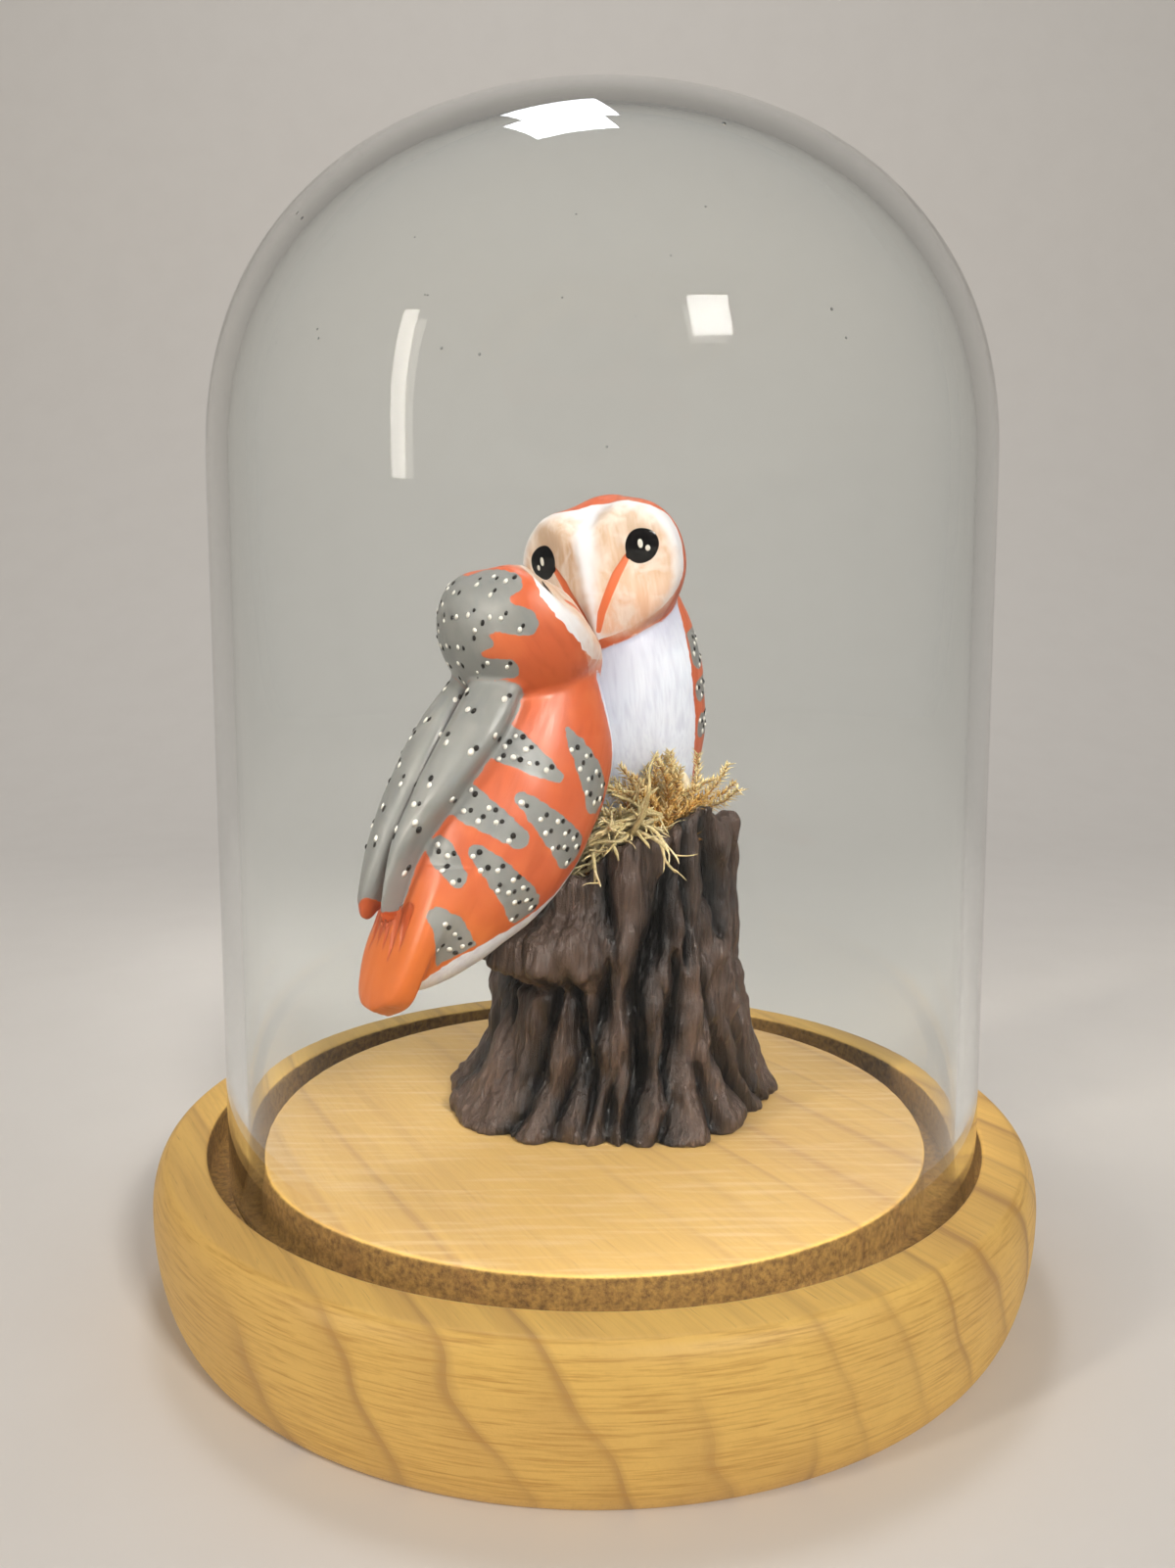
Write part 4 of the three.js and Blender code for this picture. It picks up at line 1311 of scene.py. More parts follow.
    def fronds(self, count):
        """Stems that stand on the right, in front of and beside the upright owl."""
        chance = np.random.default_rng(31)
        heap = Heap()
        for i in range(count):
            if i % 4 == 0:  # scattered round the upright owl
                x, y = chance.uniform(3, 21), chance.uniform(2, 17)
            else:  # the clump in front of its right side
                x, y = chance.normal(12.6, 2.3), chance.normal(-5, 2.2)
            if math.hypot((x - 5.5) / 17.5, (y - 5) / 17) > 0.74:
                continue
            start = np.array([x, y, self.ground(x, y) + 1.4])
            if not clear_of_owls(start, 0.3)[0]:
                continue
            lean = (x - 12) / 9 + chance.uniform(-0.7, 0.6)
            aim = np.array([lean, chance.uniform(-0.2, 0.35), chance.uniform(0.55, 1.4)])
            aim /= np.linalg.norm(aim)
            if not clear_of_owls([start + aim * 4, start + aim * 8], 0.3).all():
                continue
            self.frond(chance, heap, start, aim, chance.uniform(9, 14), chance.uniform(0.0, 0.45))
        return heap

    def execute(self, context):
        settings = context.scene.owls_moss
        self.stump = stump_volume(1.0)
        gold = tuple(settings.gold)
        crumb_finish = dry_plant("Sheet Moss, dried and dyed", gold, linear("#8A5A26"), linear("#3E2A14"))
        frond_finish = dry_plant("Feather Moss, dried", linear("#EBDBA8"), gold, linear("#84521F"))
        lichen_finish = dry_plant(
            "Reindeer Lichen, bleached", tuple(settings.lichen), linear("#B9A877"), linear("#7E6F45")
        )
        points, faces = self.bed()
        bed = make_piece("moss_crumb_bed", points, faces, crumb_finish, "base")
        chance = np.random.default_rng(8)
        store(bed, "tint", chance.uniform(0, 0.5, len(points)))
        heap = Heap()
        self.crumbs(chance, heap)
        plant_piece("moss_crumbs", heap, crumb_finish)
        plant_piece("lichen_strands", self.lichen(settings.strands), lichen_finish)
        plant_piece("moss_fronds", self.fronds(settings.fronds), frond_finish)
        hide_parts("moss_bed")
        return {"FINISHED"}


# ---------------------------------------------------------------- owls


class OwlSettings(bpy.types.PropertyGroup):
    """The two painted clay owls."""

    fineness: FloatProperty(
        name="Fineness",
        description="Size of the smallest hand mark that the clay skin keeps",
        default=0.00028,
        min=0.00015,
        max=0.002,
        unit="LENGTH",
        subtype="DISTANCE",
    )
    dot_radius: FloatProperty(
        name="Dot Radius",
        description="Radius of the raised paint dots",
        default=0.00042,
        min=0.0001,
        max=0.002,
        unit="LENGTH",
        subtype="DISTANCE",
    )
    orange: FloatVectorProperty(
        name="Orange",
        description="Colour of the flanks, nape and tail",
        default=linear("#BF5A33"),
        size=3,
        min=0,
        max=1,
        subtype="COLOR",
    )
    grey: FloatVectorProperty(
        name="Grey",
        description="Colour of the cap, wings and flank patches",
        default=linear("#7F7F7C"),
        size=3,
        min=0,
        max=1,
        subtype="COLOR",
    )
    white: FloatVectorProperty(
        name="White",
        description="Colour of the breast and of the face's border",
        default=linear("#DCDFE9"),
        size=3,
        min=0,
        max=1,
        subtype="COLOR",
    )
    face: FloatVectorProperty(
        name="Face",
        description="Colour of the two halves of the face",
        default=linear("#CBAB90"),
        size=3,
        min=0,
        max=1,
        subtype="COLOR",
    )


# An owl's own frame: x to its right, y forward, z up the body from its seat.
RIDGE = 9.3  # how far the ridge of the face stands in front of the head's middle
FACE_SLANT = math.radians(23)
LOBE = {"middle": (4.4, 0.6, 0), "half": (9.4, 9.6, 11), "tilt": math.radians(22.5)}
CROWN = {"middle": (0, -3.8, 0.3), "half": (11.3, 8.9, 12.1)}
CHIN = {"middle": (0, 2.6, -6.2), "half": (6.5, 6, 7.6)}
HEAD_BLEND = 2.6
DISH = {"depth": 1.2, "half_width": 4.2, "half_height": 6.5}
EYE = {"across": 5.6, "thickness": 0.9, "from_ridge": 9.3, "height": 2.9}
BILL = {"middle": (0, 7.7, -8.6), "half": (0.9, 1.2, 2.2)}
TRUNK_BOTTOM = -9.0
TRUNK_HALF_WIDTH = [(-9, 6.5), (0, 10.4), (12, 13.2), (24, 14), (34, 13.2), (44, 11), (58, 9)]
TRUNK_HALF_DEPTH = [(-9, 6), (0, 9.4), (12, 12.9), (24, 13.9), (34, 12.9), (44, 10.4), (58, 8)]
TRUNK_CENTRE = [(-9, -6.2), (0, -4), (12, -1.7), (24, -0.6), (34, -0.3), (44, 0), (58, 0)]
NECK_START, NECK_END = 33.0, 58.0
WING = {"tip": -1.5, "shoulder": 43.0, "thickness": 5.8, "skew": 2.2}
WING_HALF_WIDTH = [(-1.5, 1.2), (3, 1.6), (8, 2.2), (14, 3.3), (20, 4.5), (30, 5.6), (43, 5.2)]
WING_LIFT = [(-1.5, 3.7), (8, 2.1), (20, 1.2), (43, 0.6)]
TAIL = {"end": -13.5, "root": 12.0, "thickness": 4.6, "aside": 1.0, "slant": 0.5}
TAIL_HALF_WIDTH = [(-14.5, 6.2), (-9, 7.6), (-4, 8.2), (2, 7.4), (12, 5)]
FOOT = {"half": (1.3, 2.3, 2.7), "spacing": 5.1, "forward": 10.6, "above": 6.3}

# Edge of the painted face: how far forward it lies, at heights up the head.
FACE_EDGE = [
    (-13, 9.5), (-11.2, 8.6), (-9.8, 6.2), (-8, 4.1), (-6.4, 2.6), (-4.5, 1.3), (-2, 0.5), (3, 0), (5.5,
        0.2),
    (7.4, 0.7), (8.7, 1.9), (10, 2.7), (13, 3.2),
]
FACE_BORDER = [(-13, 0.2), (-5, 0.3), (0, 0.7), (5, 1.0), (11, 0.8)]  # width of its white border
RIDGE_PAINT = [(-13, 0.3), (-5, 0.5), (-2.5, 0.9), (1, 1.4), (3.3, 1.6), (6.4, 1.7), (11, 1.2)]
RIDGE_ASIDE = 0.5  # the ridge's white lies a little to the owl's left
# Lobes of the grey cap on the right side, each from its root to its end, with both radii.
CAP_LOBES = [
    [(4.7, -2.5, 11.3), (7.6, -1.9, 10.2), (10.3, -1.5, 8.8), 2.0, 1.9],
    [(6.5, -8.0, 8.2), (10.6, -5.6, 6.4), (12.4, -3.9, 3.8), 2.6, 1.9],
    [(5.5, -5.0, 10.0), (8.6, -4.4, 9.0), (10.2, -4.0, 7.7), 2.4, 1.3],
    [(5.0, -10.0, 5.5), (7.6, -8.9, 4.6), (8.6, -8.6, 4.1), 2.0, 0.9],
    [(3.1, -12.0, 2.5), (6.8, -10.6, 0.9), (9.4, -8.9, -0.4), 2.4, 1.6],
    [(1.0, -12.6, -1.5), (3.8, -12.0, -2.5), (5.7, -11.1, -2.9), 2.2, 1.3],
]
CAP_MIDDLE = (0.0, -9.6, 7.3)
CAP_RADIUS = 8.6
TEAR = [(6.6, 5.9, 1.6), (4.6, 7.2, -1.2), (3.0, 7.9, -4.0), (1.6, 8.3, -6.6), (0.7, 8.4, -9.2)]
TEAR_RADIUS = 0.68


def ellipsoid_reach(aims, middle, half, tilt=0.0):
    """Distance from the origin to an ellipsoid round it, along unit directions."""
    cos, sin = math.cos(tilt), math.sin(tilt)

    def squeezed(x, y, z):
        return (x * cos - z * sin) / half[0], y / half[1], (x * sin + z * cos) / half[2]

    dx, dy, dz = squeezed(aims[:, 0], aims[:, 1], aims[:, 2])
    cx, cy, cz = squeezed(*middle)
    spread = dx * dx + dy * dy + dz * dz
    toward = dx * cx + dy * cy + dz * cz
    inside = cx * cx + cy * cy + cz * cz - 1
    return (toward + np.sqrt(np.maximum(toward * toward - spread * inside, 0))) / spread


def dish_depth(x, z):
    """How far the face is hollowed round each eye."""
    from_eye = (np.abs(x) - EYE["from_ridge"] * math.cos(FACE_SLANT)) / DISH["half_width"]
    level = (z - EYE["height"]) / DISH["half_height"]
    return DISH["depth"] * np.exp(-(from_eye**2) - level**2)


def head_reaches(aims):
    """How far the rounded head and the two flat halves of the face reach along unit directions."""
    side = LOBE["middle"]
    right = ellipsoid_reach(aims, side, LOBE["half"], LOBE["tilt"])
    left = ellipsoid_reach(aims, (-side[0], side[1], side[2]), LOBE["half"], -LOBE["tilt"])
    round_head = soft_max(left, right, HEAD_BLEND)
    for part in (CROWN, CHIN):
        round_head = soft_max(round_head, ellipsoid_reach(aims, part["middle"], part["half"]), HEAD_BLEND)
    facing = math.cos(FACE_SLANT) * aims[:, 1]
    slant = math.sin(FACE_SLANT) * aims[:, 0]
    halves = [
        np.where(f > 0.02, RIDGE * math.cos(FACE_SLANT) / np.maximum(f, 0.02), 1e3)
        for f in (facing + slant, facing - slant)
    ]
    return round_head, soft_min(halves[0], halves[1], HEAD_BLEND / 3)


def ellipsoid_volume(points, middle, half):
    away = np.sqrt((((points - np.array(middle, np.float32)) / np.array(half, np.float32)) ** 2).sum(1))
    return (away - 1) * min(half)


def stroke_distance(points, path, radii):
    """Distance to a round-ended brush stroke whose width changes along its path."""
    best = np.full(len(points), 99.0, np.float32)
    for i in range(len(path) - 1):
        start, run = np.array(path[i]), np.array(path[i + 1]) - np.array(path[i])
        t = np.clip((points - start) @ run / (run @ run), 0, 1)
        away = np.linalg.norm(points - start - t[:, None] * run, axis=1)
        best = np.minimum(best, away - (radii[i] + (radii[i + 1] - radii[i]) * t))
    return best


def round_stroke(aims, path, radii, reach):
    """Distance to a brush stroke on a rounded form, seen from its middle along unit directions."""
    best = np.full(len(aims), 99.0, np.float32)
    path = [np.array(p) / np.linalg.norm(p) for p in path]
    for i in range(len(path) - 1):
        start, run = path[i], path[i + 1] - path[i]
        t = np.clip((aims - start) @ run / max(run @ run, 1e-9), 0, 1)
        away = np.linalg.norm(aims - start - t[:, None] * run, axis=1) * reach
        best = np.minimum(best, away - (radii[i] + (radii[i + 1] - radii[i]) * t))
    return best


class Owl:
    """One clay owl: where its body and head sit, and where its flank patches are."""

    def __init__(
        self,
        name,
        seat,
        turn,
        head_middle,
        head_turn,
        brow,
        hood,
        forehead,
        cap_trim,
        jowl,
        eye_rise,
        top,
        neck_shift,
        tail_centre,
        breast,
        breast_turn,
        patches,
        feet,
    ):
        self.name = name
        self.body = Pose(seat, turn)
        self.head = Pose(head_middle, head_turn)
        self.brow = brow
        self.hood = hood
        self.forehead = forehead
        self.cap_trim = cap_trim
        self.jowl = jowl
        self.eye_rise = eye_rise
        self.top = top
        self.neck_shift = neck_shift
        self.tail_centre = tail_centre
        self.breast = breast
        self.breast_turn = breast_turn
        self.patches = patches
        self.feet = feet

    def section(self, height):
        """Half-width, half-depth and middle of the trunk at heights up the body."""
        middle = (self.top + TRUNK_BOTTOM) / 2
        half = (self.top - TRUNK_BOTTOM) / 2
        rounding = end_rounding(np.clip((height - middle) / half, -1, 1), 3)
        neck = smooth_step((height - NECK_START) / (NECK_END - NECK_START))
        return (
            along(TRUNK_HALF_WIDTH, height) * rounding,
            along(TRUNK_HALF_DEPTH, height) * rounding,
            along(TRUNK_CENTRE, height) + self.neck_shift * neck,
        )

    def trunk_point(self, degrees, height, lift=0.0):
        """A point on the trunk, in the body's own frame. 0 degrees is the breast."""
        wide, deep, middle = self.section(np.array(float(height)))
        turn = math.radians(degrees)
        return np.array([(wide + lift) * math.sin(turn), middle + (deep + lift) * math.cos(turn), height])

    def trunk_volume(self, local):
        wide, deep, middle = self.section(local[:, 2])
        away = np.hypot(local[:, 0] / wide, (local[:, 1] - middle) / deep)
        ends = np.abs(local[:, 2] - (self.top + TRUNK_BOTTOM) / 2) - (self.top - TRUNK_BOTTOM) / 2
        return np.maximum((away - 1) * np.minimum(wide, deep), ends)

    def wing_volume(self, local, side):
        """A folded wing on the back, beside its middle line. Side 1 is the owl's right."""
        height = local[:, 2]
        middle, half = (WING["shoulder"] + WING["tip"]) / 2, (WING["shoulder"] - WING["tip"]) / 2
        upper = end_rounding(np.clip((height - middle) / half, 0, 1), 2.6)
        lower = end_rounding(np.clip((height - middle) / half, -1, 0), 2.6)
        rounding = upper * lower
        wide, deep, centre = self.section(height)
        lift = along(WING_LIFT, height)
        x, y = local[:, 0], local[:, 1] - centre
        turn = np.arctan2(x / (wide + lift), y / (deep + lift))
        half_width = along(WING_HALF_WIDTH, height)
        parting = 0.45 + 0.1 * np.maximum(10 - height, 0)
        # The parting between the wings lies towards the owl's right, so the right wing is narrower.
        skew = WING["skew"] * smooth_step((WING["shoulder"] - 3 - height) / 14)
        half_width = half_width - side * skew / 2
        from_back = (2 * math.pi - side * turn) % (2 * math.pi) - math.pi
        across = from_back * (along(TRUNK_HALF_DEPTH, height) + 2) - half_width - parting
        across -= side * skew
        out = np.hypot(x, y) - np.hypot(wide * np.sin(turn), deep * np.cos(turn)) - lift
        thick = WING["thickness"] / 2 * rounding
        power = 3.2
        away = (np.abs(across / (half_width * rounding)) ** power + np.abs(out / thick) ** power) ** (1 / power)
        return np.maximum((away - 1) * thick, np.abs(height - middle) - half)

    def tail_volume(self, local):
        x = local[:, 0] - TAIL["aside"]
        height = local[:, 2] - TAIL["slant"] * np.maximum(x, 0)
        middle, half = (TAIL["root"] + TAIL["end"]) / 2, (TAIL["root"] - TAIL["end"]) / 2
        place = (height - middle) / half
        rounding = end_rounding(np.clip(place, -1, 0), 7) * end_rounding(np.clip(place, 0, 1), 1.7)
        thick = TAIL["thickness"] / 2 * rounding
        wide = along(TAIL_HALF_WIDTH, height) * rounding
        away_x, away_y = np.abs(x / wide), np.abs((local[:, 1] - along(self.tail_centre, height)) / thick)
        away = (away_x**3.2 + away_y**3.2) ** (1 / 3.2)
        return np.maximum((away - 1) * thick, np.abs(height - middle) - half)

    def feather_tips_and_shadow(self, local):
        """Distance to the pointed strokes below each folded wing: feather tips, painted darker as their shadow.
        """
        best = np.full(len(local), 99.0, np.float32)
        for side in (-1, 1):
            for x, high, low in ((0.9, 1.5, -4.6), (2.9, 1.5, -5.6), (4.9, 2.0, -4.2)):
                out = TAIL["thickness"] / 2
                path = [
                    (side * x * spread, float(along(self.tail_centre, np.array(z))) - out, z)
                    for z, spread in ((high, 1.0), ((high + low) / 2, 1.05), (low, 1.15))
                ]
                best = np.minimum(best, stroke_distance(local, path, [1.3, 0.8, 0.12]))
        return best

    def swept_back(self, head):
        """How far the upper part of the face is pressed back."""
        return self.forehead * smooth_step((head[:, 2] + 2) / 9) * smooth_step(head[:, 1] / 3)

    def head_volume(self, local):
        moved = local.copy()
        moved[:, 1] += np.where(local[:, 1] > 0, dish_depth(local[:, 0], local[:, 2]), 0)
        moved[:, 1] += self.swept_back(local)
        # The ridge of the face stands a little proud between the eyes.
        proud = 0.45 * np.exp(-((local[:, 0] / 1.5) ** 2)) * smooth_step(local[:, 1] / 4)
        moved[:, 1] -= proud
        brow = np.exp(-((local[:, 0] / 3.6) ** 2) - ((local[:, 1] - 5.0) / 4.5) ** 2)
        moved[:, 2] += self.brow * brow * smooth_step((local[:, 2] - 2) / 6)
        distance = np.maximum(np.linalg.norm(moved, axis=1), 1e-3)
        round_head, face = head_reaches(moved / distance[:, None])
        return distance - soft_min(round_head, face, HEAD_BLEND)

    def outline(self, head):
        """How far outside the face's outline a point is, seen from the front."""
        cos, sin = math.cos(LOBE["tilt"]), math.sin(LOBE["tilt"])
        x, z = np.abs(head[:, 0]) - LOBE["middle"][0], head[:, 2]
        half = LOBE["half"]
        away = np.hypot((x * cos - z * sin) / half[0], (x * sin + z * cos) / half[2])
        return np.where(head[:, 1] > 1, (away - 1) * half[0], 9.0)

    def feet_volume(self, local):
        best = np.full(len(local), 99.0, np.float32)
        for side in (-1, 1):
            middle = (side * FOOT["spacing"] / 2, FOOT["forward"], FOOT["above"])
            best = np.minimum(best, ellipsoid_volume(local, middle, FOOT["half"]))
        return best

    def part_volume(self, part, points):
        """Signed distance to one part, for points in the whole object's frame."""
        if part == "head":
            local = self.head.inside(points)
            return soft_min(self.head_volume(local), ellipsoid_volume(local, BILL["middle"],
                BILL["half"]), 0.8)
        local = self.body.inside(points)
        volumes = {
            "trunk": self.trunk_volume,
            "tail": self.tail_volume,
            "wing_left": lambda p: self.wing_volume(p, -1),
            "wing_right": lambda p: self.wing_volume(p, 1),
            "feet": self.feet_volume,
        }
        return volumes[part](local)

    def press_together(self, step):
        """All parts of the owl pressed into one block of clay."""
        nodes = [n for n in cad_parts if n.startswith(self.name)]
        boxes = [node_box(n) for n in nodes]
        low = np.min([b[0] for b in boxes], 0) - 2.5
        high = np.max([b[1] for b in boxes], 0) + 2.5
        clay = Clay(low, high, step)
        fillets = {"trunk": 0.1, "tail": 2.4, "wing_left": 0.7, "wing_right": 0.7, "head": 1.1}
        for part, fillet in fillets.items():
            near, far = node_box(f"{self.name}_{part}")
            margin = 7
            clay.press_on(near - margin, far + margin, lambda p, q=part: self.part_volume(q, p), fillet)
        if self.feet:
            near, far = node_box(f"{self.name}_trunk")
            clay.press_on(near, far, lambda p: self.part_volume("feet", p), 0.5)
        return clay

    def marks(self, points):
        """Distance in millimetres from each point to the edge of each painted mark, less than 0 inside."""
        head, body = self.head.inside(points), self.body.inside(points)
        of_head = self.part_volume("head", points)
        of_trunk = self.trunk_volume(body)
        of_tail = self.tail_volume(body)
        of_wings = np.minimum(self.wing_volume(body, 1), self.wing_volume(body, -1))
        on_head = of_head - np.minimum(np.minimum(of_trunk, of_wings), of_tail)
        on_wings = of_wings - np.minimum(np.minimum(of_trunk, of_tail), of_head)

        # Head: the face's edge, then the cap's lobes.
        up_brow = smooth_step((head[:, 2] - 5) / 4)
        between_lobes = 2.6 * np.exp(-((head[:, 0] / 4.5) ** 2))
        rim = along(FACE_EDGE, head[:, 2]) + (self.hood - between_lobes) * up_brow - head[:, 1]
        rim -= self.jowl * smooth_step((-3 - head[:, 2]) / 5)
        reach = np.maximum(np.linalg.norm(head, axis=1), 1e-3)
        mirrored = np.column_stack([np.abs(head[:, 0]), head[:, 1], head[:, 2]]) / reach[:, None]
        cap = round_stroke(mirrored, [CAP_MIDDLE, CAP_MIDDLE], [CAP_RADIUS] * 2, reach)
        for *path, start_radius, end_radius in CAP_LOBES:
            radii = [start_radius, (start_radius + end_radius) / 2, end_radius]
            cap = soft_min(cap, round_stroke(mirrored, path, radii, reach), 0.8)
        cap = cap + self.cap_trim
        tear = stroke_distance(
            np.abs(head) * (1, 0, 0) + head * (0, 1, 1), TEAR, [TEAR_RADIUS * w for w in (0.8, 1.1, 1.0,
                0.95, 0.7)]
        )
        border = along(FACE_BORDER, head[:, 2]) + self.outline(head)
        ridge = along(RIDGE_PAINT, head[:, 2]) - np.abs(head[:, 0] + RIDGE_ASIDE)

        # Body: breast edge, flank patches on both sides, wing tips.
        wide, deep, middle = self.section(body[:, 2])
        turn = np.arctan2(body[:, 0] / wide, (body[:, 1] - middle) / deep) - math.radians(self.breast_turn)
        breast = (np.abs(turn) - np.radians(along(self.breast, body[:, 2]))) * (wide + deep) / 2
        flank = np.column_stack([np.abs(body[:, 0]), body[:, 1], body[:, 2]])
        patches = np.full(len(points), 99.0, np.float32)
        for patch in self.patches:
            patches = np.minimum(patches, self.patch_distance(flank, patch))
        patches = np.maximum(patches, -breast + 0.7)
        jagged = 1.6 * np.abs((body[:, 0] / 1.7) % 2 - 1)
        below_wing = body[:, 2] - 0.2 - jagged
        off_head = -on_head
        of_feet = np.full(len(points), 9.0, np.float32)
        if self.feet:
            of_feet = self.feet_volume(body)
            of_feet = np.maximum(of_feet - of_trunk, of_feet - 0.4)
        marks = {
            "grey": np.minimum(
                np.minimum(np.maximum(patches, off_head), np.maximum(on_wings, -below_wing)),
                np.maximum(cap, on_head),
            ),
            "white": np.minimum(
                np.maximum(np.maximum(breast, off_head), of_trunk - of_tail - 0.6), np.maximum(rim, on_head)
            ),
            "face": np.maximum(np.maximum(border, ridge), on_head),
            "tear": np.maximum(tear, on_head),
            "tips": np.minimum(
                np.maximum(self.feather_tips_and_shadow(body), of_tail - np.minimum(of_trunk, of_wings)),
                np.maximum(on_wings, below_wing),
            ),
            "chin_shade": of_head,
            "body_height": np.where(on_head < 0, 50, body[:, 2]),
            "foot": of_feet,
        }
        own = np.where((on_head < 0)[:, None], head, body)
        return marks, own

    def patch_path(self, patch):
        """Points and radii along one flank patch, on the trunk's surface."""
        start_turn, start_height, start_radius, end_turn, end_height, end_radius = patch
        path, radii = [], []
        for t in np.linspace(0, 1, 5):
            turn = start_turn + (end_turn - start_turn) * t
            height = start_height + (end_height - start_height) * t
            path.append(self.trunk_point(turn, height))
            bend = 1.4 if start_radius > end_radius else 0.7
            radii.append(start_radius + (end_radius - start_radius) * t**bend)
        return path, radii

    def patch_distance(self, flank, patch):
        path, radii = self.patch_path(patch)
        return stroke_distance(flank, path, radii)


# A flank patch is a thumb-shaped mark: degrees round the trunk from the breast, height up the body
# and radius where it starts near the wing, then the same where it ends near the breast.
OWL_A = Owl(
    "owl_a",
    seat=(-20.4, -15.5, 32),
    turn=(34, -24, 0),
    head_middle=(-10.6, -10.2, 79.2),
    head_turn=(27, 39, 0),
    brow=0.9,
    hood=1.1,
    forehead=1.9,
    cap_trim=0.0,
    jowl=1.4,
    eye_rise=0.45,
    top=54,
    neck_shift=-6.5,
    tail_centre=[(-14.5, -8.6), (-6, -9.8), (12, -9.8)],
    breast=[(-9, 100), (-4, 92), (0, 79), (5, 62), (11, 46), (17, 39), (24, 35), (30, 39), (36, 48), (42,
        58), (58, 66)],
    breast_turn=0,
    patches=[
        (139, 29.2, 3.0, 98, 27.2, 1.0),
        (101, 34.2, 0.5, 60, 27.6, 3.2),
        (146, 19.4, 2.7, 104, 16.9, 1.5),
        (113, 22.3, 1.0, 64, 18.2, 3.0),
        (148, 11.6, 2.0, 128, 8.8, 1.5),
        (123, 12.9, 1.3, 70, 8.0, 2.9),
        (127, 2.6, 2.3, 86, -2.0, 3.1),
    ],
    feet=False,
)
OWL_B = Owl(
    "owl_b",
    seat=(8.6, 12.2, 46.5),
    turn=(-64, 4, 6),
    head_middle=(1.9, 5.7, 89.3),
    head_turn=(-112.3, -6.7, 7.3),
    brow=1.0,
    hood=0.0,
    forehead=0.0,
    cap_trim=1.3,
    jowl=0.0,
    eye_rise=1.0,
    top=49,
    neck_shift=1.5,
    tail_centre=[(-14.5, -24), (-6, -17), (12, -9.5)],
    breast=[(-9, 84), (0, 70), (6, 54), (12, 44), (20, 41), (30, 41), (36, 48), (42, 58), (58, 70)],
    breast_turn=12,
    patches=[
        (140, 33.5, 2.8, 104, 34.0, 0.9),
        (96, 33.5, 0.8, 42, 28.6, 3.4),
        (142, 24.5, 2.6, 108, 24.0, 1.4),
        (100, 26.4, 1.1, 40, 21.6, 1.9),
        (140, 15.5, 2.3, 112, 13.5, 1.5),
        (106, 19.4, 1.2, 42, 15.8, 2.1),
        (112, 9.4, 1.2, 56, 8.6, 2.3),
        (134, 5.0, 1.8, 90, 1.4, 2.4),
    ],
    feet=True,
)


